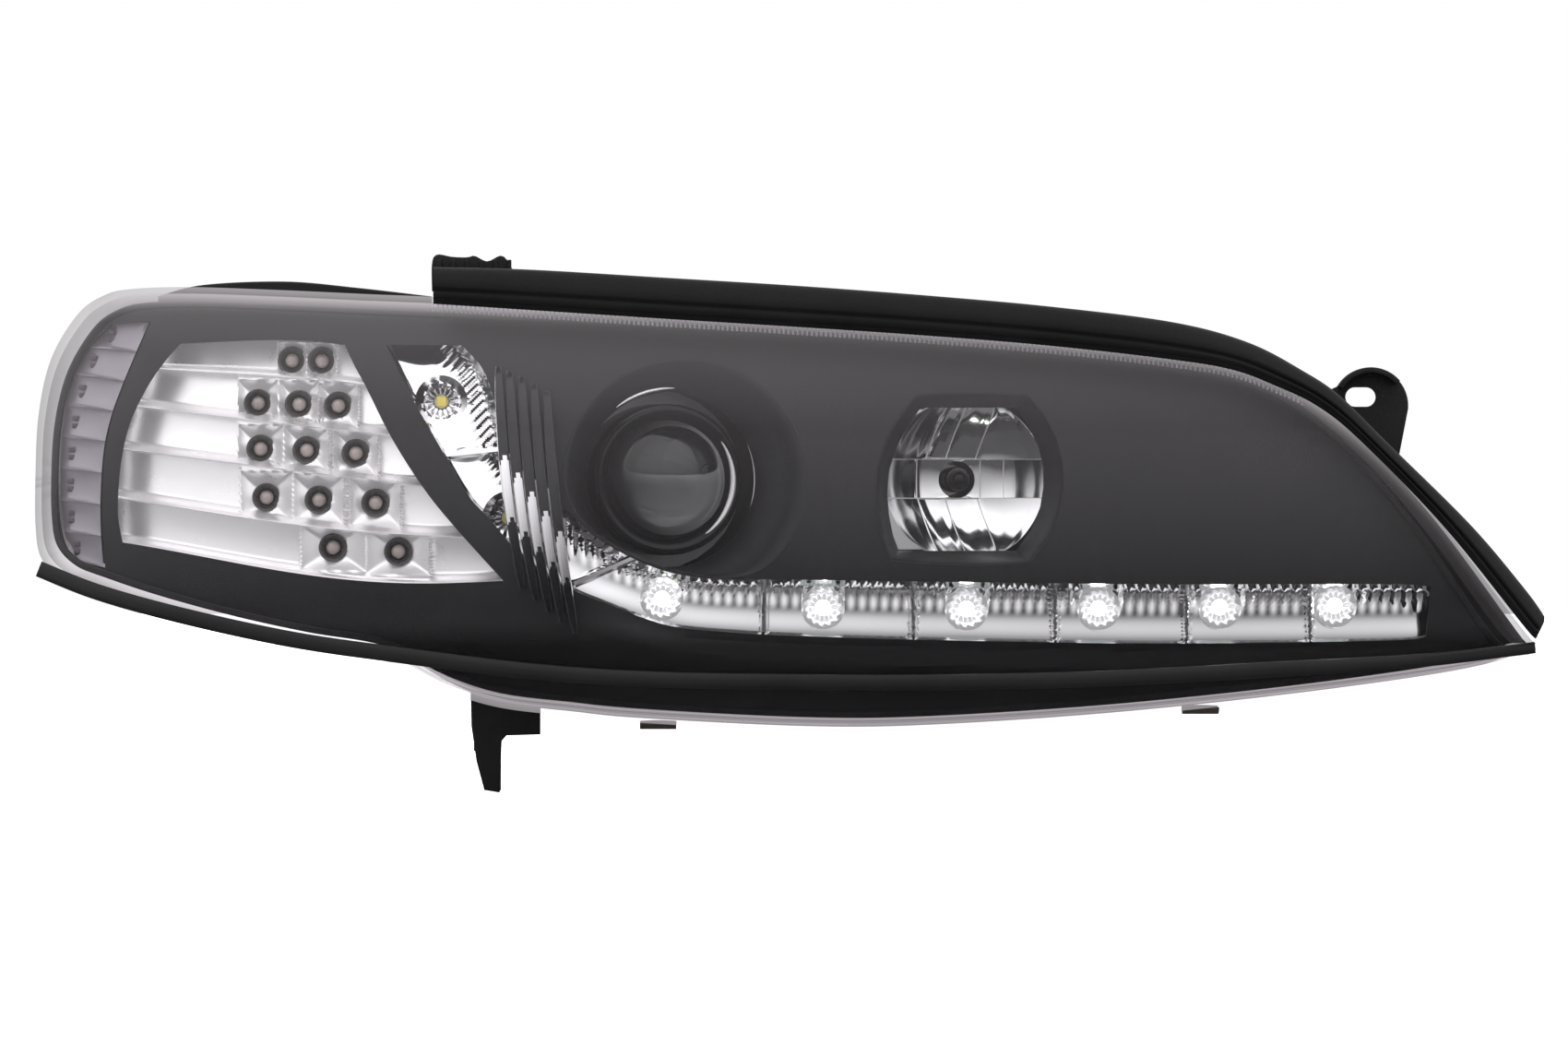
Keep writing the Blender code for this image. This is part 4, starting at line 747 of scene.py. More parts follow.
def tub_rows(depth, back, wall):
    """Rows across the tub: its mouth where back is 0, or its rear wall, rounded at the edge, where back is 1."""
    draft = 8.5 * back

    def place(station, column):
        side, round_by = station
        x, z = on_face(column, side, 4.5 + draft + wall, 8 + draft * 0.8 + wall, 9 + draft * 0.7 + wall,
                       8 + draft * 0.4 + 2.5 * wall)
        mouth = max(face_y(*on_face(column, side)), face_y(*on_face(column, 0))) + LENS_RETURN
        return x, depth + (back_y(x) - round_by if back else mouth), z
    half = [(0.4, 0), (0.93, 0), (0.97, 1), (0.992, 3.4), (1, 7)]
    return surface([(-side, by) for side, by in half[::-1]] + half, range(COLUMNS + 1), place)


def housing_tub():
    rim_front = 6 * GAP + BEAD_DEEP
    rim = Shape()
    block(rim, *[[foot_row(side, rim_front + depth, 1.5 + more, 6 + more, 5.5 + more, 5 + 2 * more)
                  for side, more in ((-1, 0), (-1, 14), (1, 14), (1, 0))] for depth in (0, RIM_DEEP)])
    tub, hollow = Shape(), Shape()
    block(tub, tub_rows(rim_front + 3, 0, 0), tub_rows(0, 1, 0))
    block(hollow, tub_rows(-40, 0, TUB_WALL), tub_rows(-TUB_WALL, 1, TUB_WALL))
    return rim, tub, hollow


def ear():
    outline = arc(277, 29.5, 15.2, -5, 150, 30) + [(248, 30), (262, -8), (284, -14)]
    flat, slot = Shape(), Shape()
    flat.slab(outline, 28, 32, 0.7)
    slot.slab(arc(275.4, 32.9, 3.85, -90, 90, 16) + arc(271, 32.9, 3.85, 90, 270, 16), 15, 40, 0)
    return cut(flat, slot)


def plain_brackets(body):
    """The ear's web, the leg, the upper lug and the brow rib."""
    body.slab(arc(277, 29.5, 15.2, 40, 150, 24) + arc(277, 29.5, 12.9, 150, 40, 24), 20, 28.5, 0.5)
    body.slab([(-81, -78), (-80.5, -98), (-78.5, -112), (-75.4, -123.5), (-69.2, -124.5), (-68.4, -104),
               (-66.5, -101.8), (-53, -101.4), (-53, -78)], 30, 34, 0.7)
    body.brick((-71.5, 33, -124), (-69, 52, -78), 0.5, 0.5)
    body.brick((-79.6, 33, -108), (-77.4, 42, -78), 0.5, 0.5)
    lug = smooth_path([(-96, 75), (-96, 86), (-94, 89.5), (-88, 88.6), (-82, 88.4), (-79, 89), (-74, 86.8),
                       (-68, 89), (-64, 83), (-62, 75)], 40)
    for y0, y1 in ((23, 28), (28, 40), (40, 50)):
        body.slab([(x, min(z, 80)) for x, z in lug] if y0 == 28 else lug, y0, y1, 0.4)
    body.brick((-95, 43, 60), (-63, 49, 80), 0.6)
    for k in range(6):
        body.brick((-94 + 5.6 * k, 21.8, 76), (-92.4 + 5.6 * k, 24, 87.4), 0.3, 0.4)
    crest = smooth_path([(-208, 74), (-190, 78.6), (-157, 80), (-128, 77.5), (-98, 74)], 40)
    body.slab(crest + [(-98, 56.5), (-207, 56.5)], 99.3, 112, 0.8)


def rear_ribs(body):
    """Stiffening ribs on the tub's rear wall and a lip round its edge."""
    for x, low, high in ((-205, -20, 24), (-178, -42, -12), (-152, -48, -12), (-126, -54, -12), (-104, -58, -38),
                         (-96, 6, 20), (56, 30, 44), (192, -68, 34), (212, -66, 28), (232, -64, 18), (252, -62, 4),
                         (272, -62, -16)):
        y = back_y(x)
        body.brick((x - 1, y - 6, low), (x + 1, y + 3.5, high), 0.4, 0.5)
    for x0, x1, z in ((-214, -104, -26), (-120, -86, 52), (20, 64, 44), (180, 208, -10)):
        body.brick((x0, back_y(x1) - 6, z - 1), (x1, back_y(x1) + 3.5, z + 1), 0.4, 0.5)
    path = []
    there, back = range(6, COLUMNS - 5, 2), range(COLUMNS - 6, 5, -2)
    for column, side in [(i, -1) for i in there] + [(i, 1) for i in back]:
        x, z = on_face(column, side, 15, 18.4, 18.5, 13.4)
        path.append((x, back_y(x) - 3, z))
    sweep(body, path, [(-1.2, -3), (-1.2, 5), (-0.6, 5.6), (0.6, 5.6), (1.2, 5), (1.2, -3)], closed=True)


def housing():
    rim, tub, hollow = housing_tub()
    bores = []
    necks = Shape(OPTICS)
    for x, base, end in ((LOW_X, 116, LOW_NECK_END), (HIGH_X, 90, HIGH_NECK_END)):
        bores.append(Shape(OPTICS).bore(NECK_R - 2.9, base - 30, end + 10, x, 0, 72))
        necks.tube(NECK_R - 3, NECK_R, base, end, x, 0, 96, 0.6)
        for k in range(12):
            a = math.radians(15 + 30 * k)
            necks.pad(x + 41 * math.cos(a), 41 * math.sin(a), 1.5, 1.5, end - 22, end - 12, 0.5, 0.6)
    for x, z, outer, inner, start, end in ((PIVOT_X, LEVEL_Z, 22, 6, 110, LEVEL_BOSS_END),
                                           (PAN_X, PIVOT_Z, 11, 4, 130, PAN_BOSS_END),
                                           (PIVOT_X, PIVOT_Z, 7, 3.4, 98, 120)):
        necks.tube(inner, outer, start, end, x, z, 64, 0.6)
        bores.append(Shape(OPTICS).bore(inner, start - 20, end + 10, x, z))
    body = Shape()
    plus(body, cut(merged(rim, tub), hollow, *bores))
    plus(body, ear())
    plain_brackets(body)
    rear_ribs(body)
    plus(body, necks.mesh("necks"))
    piece("housing_shell", body, ["black_plastic"], "housing", "housing")


# ---------------------------------------------------------------- trim on the outside

def top_seal_strip():
    """The black strip over the lens's upper edge, with a groove along its lower third and a roof behind."""
    outer = [(0.0, 2.6), (0.03, 3.8), (0.1, 4.9), (0.18, 5.4), (0.24, 5.3), (0.28, 4.6), (0.31, 4.2), (0.35, 4.5),
             (0.4, 5.2), (0.48, 5.4), (0.62, 4.9), (0.8, 3.9), (0.92, 2.7), (0.98, 1.3), (1.0, 0.0), (1.0, -8),
             (1.0, -15)]
    rings = []
    for a, b in zip(smooth_path(SEAL_LOW, 200), smooth_path(SEAL_HIGH, 200)):
        y = face_y(*a)
        ring = [(*mix(a, b, share), y - proud) for share, proud in outer]
        ring += [(x, z - 1.8, y + 1.6) for x, z, y in reversed(ring[1:])]
        rings.append([(x, y, z) for x, z, y in ring])
    strip = Shape()
    strip.loft(rings)
    piece("top_seal", strip, ["rubber"], "housing", "top_seal_strip")


def bottom_trim_strip():
    def section(x):
        half = 3.2 - 0.9 * ease(((x - FACE_LEFT) / (FACE_RIGHT - FACE_LEFT) - 0.8) / 0.2)
        return [(half * across, -proud) for across, proud in (
            (-1, 0.9), (1, 0.9), (1, 2.3), (0.9, 3), (0.55, 3.7), (0.1, 3.8), (-0.4, 3.8), (-0.75, 3.5), (-1, 2.8))]
    strip = Shape()
    sweep(strip, [(x, face_y(x, z), z) for x, z in smooth_path(TRIM_MIDDLE, 220)], section)
    piece("bottom_trim", strip, ["black_plastic"], "housing", "bottom_trim_strip")


def lens_clip(name, x):
    """A folded spring-steel clip over the lens foot and the housing rim."""
    column = min(range(COLUMNS + 1), key=lambda i: abs(lower_edge[i][0] - x))
    foot_y = face_y(*on_face(column, -1)) + LENS_RETURN
    z = on_face(column, -1, 4.5, 9.5, 10)[1] - 5.8
    bend = smooth_path([(-12, 1.2), (-9, 0.3), (-6, -0.4), (0, -0.9), (6, -0.9), (10, -0.9), (12.2, 1.5)], 24)
    clip = Shape()
    clip.loft([[(x - 7.2, foot_y + dy, z + dz), (x - 7.2, foot_y + dy, z + dz + 0.8),
                (x - 2, foot_y + dy, z + dz + 1.1), (x + 2, foot_y + dy, z + dz + 1.1),
                (x + 7.2, foot_y + dy, z + dz + 0.8), (x + 7.2, foot_y + dy, z + dz)] for dy, dz in bend])
    piece(name + "_spring", clip, ["dark_steel", "steel"], "housing", name)


# ---------------------------------------------------------------- bezel and lamps behind it

def bezel_step(x, z):
    """How far the bezel comes forward below the daylight strip, as a sloping ledge."""
    below = np.interp(x, *zip(*STRIP_OUTER[8:])) - 2.2 - z
    return -6.5 * ease(below / 9) * ease((x + 45) / 60) * ease((330 - x) / 40)


def bezel_y(x, z):
    return inner_y(x, z) + bezel_step(x, z)


def bezel_point(column, side, more=0.0):
    end = 6.2 if column < COLUMNS / 2 else 16
    return on_face(column, side, 6 + more, 6.2 + more, end + more, 16 + 2 * more)


def indicator_edges(count, widen=0.0):
    """The indicator's foot-to-head rows: the left point, the right point and the row's share."""
    return [(a, b, k / (count - 1)) for k, (a, b) in
            enumerate(pairs_between(INDICATOR_LEFT, INDICATOR_RIGHT, count, widen))]


def indicator_point(a, b, share, across):
    """A place in the indicator window. Its foot sags and its head is crowned, as the real outline does."""
    x, z = mix(a, b, across)
    bow = math.sin(math.pi * across ** 1.3)
    return x, z - INDICATOR_SAG * bow * max(0, 1 - share / 0.4) + INDICATOR_CROWN * bow * max(0, share * 3 - 2)


def indicator_outline():
    edges = indicator_edges(24)
    foot = [indicator_point(*edges[0], k / 40) for k in range(1, 40)]
    head = [indicator_point(*edges[-1], k / 24) for k in range(1, 24)]
    return [a for a, b, s in edges] + head + [b for a, b, s in reversed(edges)] + foot[::-1]


def low_mouth(angle):
    """How far the dish round the projector reaches: less where the daylight strip passes under it."""
    return float(np.interp(math.degrees(angle) % 360, *zip(*LOW_DISH)))


def high_mouth(angle):
    """The high beam's opening: flat above and below, rounded inboard and raked outboard."""
    return throat_reach(HIGH_OPENING, angle) + 5.5


def throat_reach(outline, angle):
    """How far a closed outline lies from (0, 0) in a direction."""
    out = Vector((math.cos(angle), math.sin(angle)))
    reach = 0.0
    for a, b in zip(outline, outline[1:] + outline[:1]):
        a, b = Vector(a), Vector(b)
        span = b - a
        across = out.x * span.y - out.y * span.x
        if abs(across) > 1e-9:
            far = (a.x * span.y - a.y * span.x) / across
            share = (a.x * out.y - a.y * out.x) / across
            if far > 0 and -1e-6 <= share <= 1 + 1e-6:
                reach = max(reach, far)
    return reach


def funnel(bezel, x, mouth, throat, back, rise, shift=0.0):
    """The dish from the bezel's skin down to a lamp's opening. mouth and throat give radii by angle."""
    steps = 180
    turn = Matrix.Rotation(TOE, 3, "Z")
    centre = turn @ Vector((x, -22, 0))
    rings = []
    for k in range(steps):
        a = 2 * math.pi * k / steps
        out = Vector((math.cos(a), math.sin(a)))
        wide, reach = mouth(a), throat(a)
        end = turn @ Vector((x + shift + reach * out.x, back, reach * out.y))
        outer_end = turn @ Vector((x + shift + (reach + 1.6) * out.x, back, (reach + 1.6) * out.y))

        def skin(r):
            px, pz = centre.x + r * out.x, centre.z + r * out.y
            return Vector((px, bezel_y(px, pz), pz))
        top = skin(wide)
        ring = [skin(wide + 0.9) + Vector((0, 0.1, 0)), skin(wide + 0.5) - Vector((0, 0.12, 0)),
                top - Vector((0, 0.02, 0))]
        for n in range(1, 19):
            t = n / 18
            here = top.lerp(end, 1 - (1 - t) ** 1.15)
            here.y = top.y + (end.y - top.y) * (1 - math.cos(math.pi / 2 * t)) ** rise
            ring.append(here)
        ring += [outer_end, skin(wide + 0.9) + Vector((0, 2.2, 0))]
        rings.append([tuple(p) for p in ring])
    bezel.loft(rings, round_run=True)


def prism(outline):
    shape = Shape()
    shape.slab(outline, -70, 150, 0)
    return shape


def bezel():
    def place(side, column):
        x, z = bezel_point(column, side)
        return x, bezel_y(x, z), z
    sheet = Shape()
    sheet.sheet(surface(even_sides(64), range(COLUMNS + 1), place), BEZEL_WALL)
    turn = Matrix.Rotation(TOE, 3, "Z")
    openings = [prism(indicator_outline()), prism(window(STRIP_OUTER, STRIP_INNER, 110)),
                prism(window(MARKER_LEFT, MARKER_RIGHT, 40))]
    for x, mouth in ((LOW_X, low_mouth), (HIGH_X, high_mouth)):
        centre = turn @ Vector((x, -22, 0))
        openings.append(prism([(centre.x + mouth(a) * math.cos(a), centre.z + mouth(a) * math.sin(a))
                               for a in (2 * math.pi * k / 180 for k in range(180))]))
    body = Shape()
    plus(body, cut(sheet, *openings))
    funnel(body, LOW_X, low_mouth, lambda a: 34.6, 9, 0.8)
    funnel(body, HIGH_X, high_mouth, lambda a: throat_reach(HIGH_OPENING, a), -25, 0.7, -2.0)
    # Painted highlights: two thin arcs of glowing chrome in the projector's dish.
    body.paint = 1
    for start, stop, reach, y, thick in ((88, 128, 36.2, 3.0, 0.55), (-20, 24, 34.8, 8.2, 0.3)):
        line = [tuple(turn @ Vector((LOW_X + x, y, z))) for x, z in arc(0, 0, reach, start, stop, 50)]
        body.wire(line, lambda k: 0.08 + thick * math.sin(math.pi * k / 49) ** 0.7, 10)
    body.paint = 0
    rim = []
    for column, side in ring_columns()[::2]:
        x, z = bezel_point(column, side, 1.4)
        rim.append((x, bezel_y(x, z), z))
    sweep(body, rim, [(-1.4, 0.4), (-1.4, -0.9), (-0.9, -1.4), (0.9, -1.4), (1.4, -0.9), (1.4, 0.4)], closed=True)
    piece("bezel_mask", body, ["bezel_black", "bright_chrome"], "housing", "bezel")


def indicator_cell(x, z, row):
    """How far a place lies across (-1 to 1) and above its LED in the LED's cell, or None outside the cells."""
    spots = INDICATOR_ROWS[row]
    pitch = spots[1][0] - spots[0][0]
    for led_x, led_z in spots:
        if abs(x - led_x) <= pitch / 2 + 0.01:
            return (x - led_x) / (pitch / 2), z - led_z
    return None


def indicator_depth(x, z, share):
    """Depth behind the bezel's skin of the stepped reflector and its LED cells."""
    tier = next(k for k in range(5) if share <= INDICATOR_LEDGES[k + 1] + 1e-9)
    low, high = INDICATOR_LEDGES[tier:tier + 2]
    step = (share - low) / (high - low)
    plain = 4.5 + 8 * ease(step / 0.22) + 0.8 * math.sin(math.pi * step)
    cell = indicator_cell(x, z, 4 - tier)
    if cell is None:
        return plain
    across = abs(cell[0])
    up = min(1.0, abs(cell[1]) / (0.5 * (high - low) * 92))
    bowl = 13.2 - 5.2 * max(across, up) ** 2.2
    return min(plain, bowl)


def indicator_reflector():
    def place(edge, k):
        x, z = indicator_point(*edge, k / 180)
        return x, inner_y(x, z) + indicator_depth(x, z, edge[2]), z
    holes = [(x, z, INDICATOR_LED_R - 0.6) for spots in INDICATOR_ROWS for x, z in spots]
    pan = Shape()
    pan.sheet(surface(indicator_edges(150, 2.0), range(181), place), MIRROR_WALL, holes)
    # The whole reflector is glowing chrome: real chrome reflections with a painted glow on top.
    piece("indicator_mirror", pan, ["bright_chrome", "chrome"], "housing", "indicator_reflector")


def indicator_row(number, places):
    """One LED row: its board, and a grey dish and a domed LED at each place."""
    xs = [x for x, z in places]
    z = sum(z for x, z in places) / len(places)
    back = face_y(min(xs) - 8, z + 5) + BEZEL_SETBACK + 15.5
    row = Shape()
    row.brick((min(xs) - 8, back, z - 5.5), (max(xs) + 8, back + 1.6, z + 5.5), 0.2, 1)
    for led_x, led_z in places:
        front = inner_y(led_x, led_z) + 10.6
        row.paint = 1
        row.turn([(5.7, front - 0.1), (5.3, front - 0.5), (4.8, front - 0.4), (4.2, front + 0.5),
                  (3.6, front + 1.8), (3.1, front + 2.6), (3.1, back + 0.4), (5.7, back + 0.4)],
                 led_x, led_z, 48, closed=True)
        row.paint = 2
        dome = [(2.9 * math.cos(t), front + 2.5 - 2.5 * math.sin(t)) for t in (math.pi / 16 * k for k in range(8))]
        row.turn([(0, back + 0.5), (2.9, back + 0.5), *dome, (0, front)], led_x, led_z, 40)
    piece(f"indicator_lamps_{number}", row, ["board_green", "led_ring", "led_dome", "led_cream"], "housing",
          f"indicator_led_row_{number}")


def marker_lens():
    """The ribbed side marker lens: a stack of pillowed cells, each with a small LED behind its outer edge."""
    pairs = pairs_between(MARKER_LEFT, MARKER_RIGHT, 145, -0.8)

    def place(i, k):
        x, z = mix(*pairs[i], k / 18)
        cell = (i / 144 * MARKER_CELLS) % 1
        pillow = math.sin(math.pi * cell) ** 0.45 * (0.4 + 0.6 * math.sin(math.pi * k / 18) ** 0.5)
        return x, inner_y(x, z) + 2.6 + 2.6 * pillow, z
    lens = Shape()
    lens.sheet(surface(range(145), range(19), place), INNER_LENS_WALL)
    lens.paint = 1
    for a, b in pairs_between(MARKER_LEFT, MARKER_RIGHT, 2 * MARKER_CELLS + 1, -0.8)[1::2]:
        x, z = mix(a, b, 0.24)
        y = inner_y(x, z) + 4.4
        for dz in (-1.5, 1.5):
            lens.pad(x, z + dz, 1.3, 1.0, y - 0.8, y + 1, 0.2, 0.3)
    piece("side_marker", lens, ["grey_lens", "marker_chip"], "housing", "side_marker_lens")


def ridge(value):
    """A zigzag between 0 and 1, once for each whole value."""
    return abs(value % 1 - 0.5) * 2


def strip_depth(x, z, across, middle):
    """Depth behind the bezel's skin of the daylight trough between its star cups: flutes, then low dividers."""
    wall = 3.6 + 7.4 * min(1, math.sin(math.pi * min(max(across, 0), 1)) / 0.5) ** 0.8
    along = x if x > -60 else x - z
    flute = 1.5 * ridge(along / 4.4) * ease((across - 0.45) / 0.3)
    depth = min(wall, 9.6 + flute - 2.2 * ease((0.5 - across) / 0.5))
    if x > -40:
        for divider in STRIP_DIVIDERS:
            depth = min(depth, 4.2 + 7 * max(0, abs(x - divider) - 0.9))
    else:
        depth = min(depth, 4.2 + 7 * max(0, abs(middle[1] - 11) - 1.0))
    return min(depth, 4.2 + 7 * max(0, abs(middle[0] + 29) - 1.2))


def star_cup(trough, x, z, radius, lit):
    """A faceted cup round an LED: flat petals between sharp ridges, out to a thin rim."""
    y = inner_y(x, z)
    rings = []
    for k in range(28):
        a = 2 * math.pi * (k + 0.5) / 28
        crest = k % 2
        ring = []
        for share in (0.3, 0.45, 0.62, 0.8, 0.94, 1.0):
            depth = 12.8 - 5.6 * share ** 1.7 - (1.0 * crest * math.sin(math.pi * min(1, share * 0.95)))
            ring.append((x + radius * share * math.cos(a), y + depth, z + radius * share * math.sin(a)))
        outer = [(px, py + 1.2, pz) for px, py, pz in reversed(ring)]
        rings.append(ring + outer)
    # Cups round lit LEDs get painted light: chrome with a faint emission, for the LED's glow on them.
    trough.paint = 1 if lit else 0
    trough.loft(rings, round_run=True)
    trough.paint = 0


def strip_reflector():
    pairs = pairs_between(STRIP_OUTER, STRIP_INNER, 700, 1.2)

    def place(n, pair):
        x, z = mix(*pair, n / 36)
        return x, inner_y(x, z) + strip_depth(x, z, n / 36, mix(*pair, 0.5)), z
    trough = Shape()
    cups = [(x, z, CUP_R[number >= FIRST_LIT]) for number, (x, z) in enumerate(STRIP_LEDS, 1)]
    trough.sheet(surface(range(37), pairs, place), MIRROR_WALL, [(x, z, radius - 0.5) for x, z, radius in cups])
    for number, cup in enumerate(cups, 1):
        star_cup(trough, *cup, number >= FIRST_LIT)
    piece("daylight_mirror", trough, ["chrome", "lit_chrome"], "housing", "daylight_reflector")


def strip_led(number, x, z, lit):
    """A square LED package on its heat slug, or the same with its chip alight."""
    y = inner_y(x, z)
    led = Shape()
    led.rod(2.9, y + 13.2, y + 16.4, x, z, 32, 0.3)
    led.paint = 1
    led.pad(x, z, 1.9, 1.9, y + 12.2, y + 13.6, 0.2, 0.5)
    if lit:
        led.turn([(0, y + 12.9)] + [(3.3 * math.cos(a), y + 12.9 - 2.4 * math.sin(a))
                                   for a in (math.pi / 2 * k / 8 for k in range(8))] + [(0, y + 10.5)], x, z, 32)
    piece(f"daylight_lamp_{number}", led, ["led_cream", "glow" if lit else "led_chip"], "housing",
          f"daylight_led_{number}")


def fin_lens():
    """Five raked blades across the daylight strip: black at both ends, with painted light where the strip lights
    them and painted highlight lines along each blade's two top corners.
    """
    fins = Shape()
    for number, (top, foot) in enumerate(zip(FIN_TOPS, FIN_FEET)):
        grid = []
        for k in range(91):
            share = k / 90
            x, z = mix(top, foot, share)
            x -= 1.6 * math.sin(math.pi * share)
            swell = math.sin(math.pi * min(1, max(0, share * 1.02 - 0.01)))
            height = 1.0 + 6.5 * swell ** 0.45
            y = inner_y(x, z) - 1.6
            wide = 0.9 + 1.25 * swell ** 0.4
            grid.append([fins.point((x + wide * side, y - height * proud + (0 if proud else 1), z))
                         for side, proud in FIN_SECTION])
        start, stop = 34 + 4 * number, 60 + 2 * number
        for k in range(90):
            for n in range(10):
                # Painted light: faces in the lit band, and two lines along each blade's top corners, take the bright
                # chrome finish.
                lit = start + 9 * ridge(n / 9) < k < stop + 7 * ridge(n / 9)
                fins.paint = 0 if lit or n in (1, 7) else 1
                fins.face(grid[k][n], grid[k][(n + 1) % 10], grid[k + 1][(n + 1) % 10], grid[k + 1][n])
        fins.face(*grid[0])
        fins.face(*grid[-1])
    fins.paint = 0

    def place(k, ends):
        x, z = mix(*ends, 0.42 + 0.26 * k / 12)
        return x - 1.6, inner_y(x, z) - 2.6, z
    ends = list(zip(smooth_path(FIN_TOPS, 33), smooth_path(FIN_FEET, 33)))
    fins.sheet(surface(range(13), ends, place), INNER_LENS_WALL)
    piece("fin_blades", fins, ["fin_gloss", "fin_dark", "clear_plastic"], "housing", "fin_lens")


# ---------------------------------------------------------------- beam units

def projector():
    """The thick low-beam lens and the polished holder round it."""
    radius = 30.5
    edge = math.asin((LENS_R - 0.6) / radius)
    dome = [(radius * math.sin(edge * k / 24), radius * (1 - math.cos(edge * k / 24))) for k in range(24, 0, -1)]
    lens = Shape(OPTICS)
    lens.turn([(0, 13.4), (LENS_R - 1, 13.6), (LENS_R, 13.2), (LENS_R, 12.3), *dome, (0, 0)], LOW_X, 0, 128)
    piece("projector_glass", lens, ["glass"], "optics", "projector_lens")
    holder = Shape(OPTICS)
    holder.turn([(HOLDER_R, 40), (HOLDER_R, 11), (HOLDER_R - 0.5, 9.2), (HOLDER_R - 1.4, 8.2), (HOLDER_R - 2.4, 8.0),
                 (LENS_R + 1.2, 8.6), (LENS_R - 0.4, 9.8), (LENS_R - 0.7, 10.3), (LENS_R + GAP, 11.6),
                 (LENS_R + GAP, 14.4), (LENS_R - 3, 14.4), (LENS_R - 3, 17), (HOLDER_R - 2.2, 24),
                 (HOLDER_R - 2.2, 40)], LOW_X, 0, 128, closed=True)
    # Painted highlight: a crescent of glowing chrome on the holder's lip.
    holder.paint = 2
    crescent = [(LOW_X + x, 9.0, z) for x, z in arc(0, 0, LENS_R + 1.3, -62, 42, 60)]
    holder.wire(crescent, lambda k: 0.1 + 1.1 * math.sin(math.pi * k / 59) ** 0.8, 10)
    piece("projector_holder", holder, ["dark_metal", "cast_metal", "bright_chrome"], "optics",
          "projector_lens_holder")


def bowl(radius, mouth, hole, front, deep):
    """Depth of a bowl at radius, from front at its mouth to its bulb hole."""
    share = max(0.0, min(1.0, (radius - hole) / (mouth - hole)))
    return front + deep * (1 - share ** 2)


def high_reflector():
    """The high-beam bowl: three bands of broad facets, with creases that lean inboard, inside a flat flange."""
    mouth, hole, front, deep = 33, 7.4, HIGH_FRONT, 15
    mirror = Shape(OPTICS)
    for low, high, lines, lean in ((-32.6, -7.4, [-16.5, -4.5, 8.5], -0.28), (-7.4, 8.2, [-17, 9.6, 19], 0.0),
                                   (8.2, 32.6, [-13, -4.5, 7.5], 0.3)):
        rows, creases = [], []
        for n in range(25):
            z = low + (high - low) * n / 24
            half = math.sqrt(mouth ** 2 - z * z)
            leans = [(line + lean * (z - math.copysign(7.8, z))) / half for line in lines]
            marks = [-half] + [half * t / (1 + abs(t) ** 4) ** 0.25 for t in leans] + [half]
            depths = [bowl(math.hypot(x, z), mouth, hole, front + 0.4, deep) for x in marks]
            row = []
            for left, right, first, last in zip(marks, marks[1:], depths, depths[1:]):
                for k in range(10):
                    t = k / 10
                    x, y = mix((left, first), (right, last), t)
                    row.append((HIGH_X + x, y + 0.7 * min(1, 4 * t, 6 * (1 - t)) - 0.5 * t, z))
            row.append((HIGH_X + half, depths[-1], z))
            rows.append(row)
            creases.append([(HIGH_X + x, y - 0.1, z) for x, y in zip(marks, depths)][1:-1])
        mirror.sheet(rows, 1.2, [(HIGH_X, 0, hole)])
        # Painted highlights: thin wires of glowing chrome along the creases, and along the middle band's edges.
        mirror.paint = 1
        for line in zip(*creases):
            mirror.wire(line, 0.26, 8)
        if lean == 0:
            for line in (rows[0], rows[-1]):
                mirror.wire(line, 0.26, 8)
        mirror.paint = 0
    mirror.turn([(mouth - 0.4, front - 0.4), (40.6, front - 0.1), (41, front + 0.4), (41, front + 3.4),
                 (mouth + 1.6, front + 3.6), (mouth + 0.4, front + 1.8), (mouth - 0.4, front + 1)], HIGH_X, 0, 128,
                closed=True)
    piece("high_beam_mirror", mirror, ["chrome", "bright_chrome"], "optics", "high_beam_reflector")


def bulb(name, x, seat):
    """A halogen bulb: glass with a dark tip, its filament, and the metal base with its contact tab."""
    lamp = Shape(OPTICS)
    glass = [(5, seat - 3), (5, seat - 20), (4.7, seat - 22.5), (3.9, seat - 24.8), (2.6, seat - 26.4),
             (1.2, seat - 27), (0, seat - 27.1)]
    lamp.turn([(0, seat - 3), *glass], x, 0, 40)
    lamp.paint = 1
    lamp.turn([(0, seat + 9.2), (6, seat + 9.2), (6.5, seat + 8.7), (6.5, seat + 3), (10.6, seat + 3),
               (11, seat + 2.6), (11, seat + 0.9), (10.6, seat + 0.5), (6.6, seat + 0.5), (6.6, seat - 2.6),
               (6.2, seat - 3.4), (0, seat - 3.4)], x, 0, 48)
    lamp.rod(0.7, seat - 15, seat - 7, x, 0, 12, 0.1)
    lamp.pad(x, 0, 3.2, 0.4, seat + 9, seat + 14, 0.1, 0.2)
    lamp.paint = 2
    lamp.turn([(5.08, seat - 20), (4.8, seat - 22.5), (4.0, seat - 24.9), (2.7, seat - 26.5), (1.2, seat - 27.1),
               (0, seat - 27.2), (0, seat - 26.9), (2.5, seat - 26.2), (3.7, seat - 24.6), (4.6, seat - 22.4),
               (4.9, seat - 20)], x, 0, 40)
    piece(name + "_capsule", lamp, ["bulb_glass", "steel", "dark_metal", "glass"], "optics", name)


def bulb_plug(name, x, seat):
    plug = Shape(OPTICS)
    plug.tube(4.4, 7, seat + 10.5, seat + 16, x, 0, 40, 0.4)
    plug.pad(x, 0, 5.5, 5.5, seat + 15, seat + 21, 0.6, 1.2)
    for k in range(3):
        plug.pad(x, 0, 6, 6, seat + 16 + 1.6 * k, seat + 16.8 + 1.6 * k, 0.2, 1.4)
    lead = [(x, seat + 18, -4), (x, seat + 18, -20), (x, seat + 17, -27), (x, seat + 14, -32)]
    plug.wire(smooth_path(lead, 24), 1.4)
    piece(name + "_boot", plug, ["black_plastic"], "optics", name)


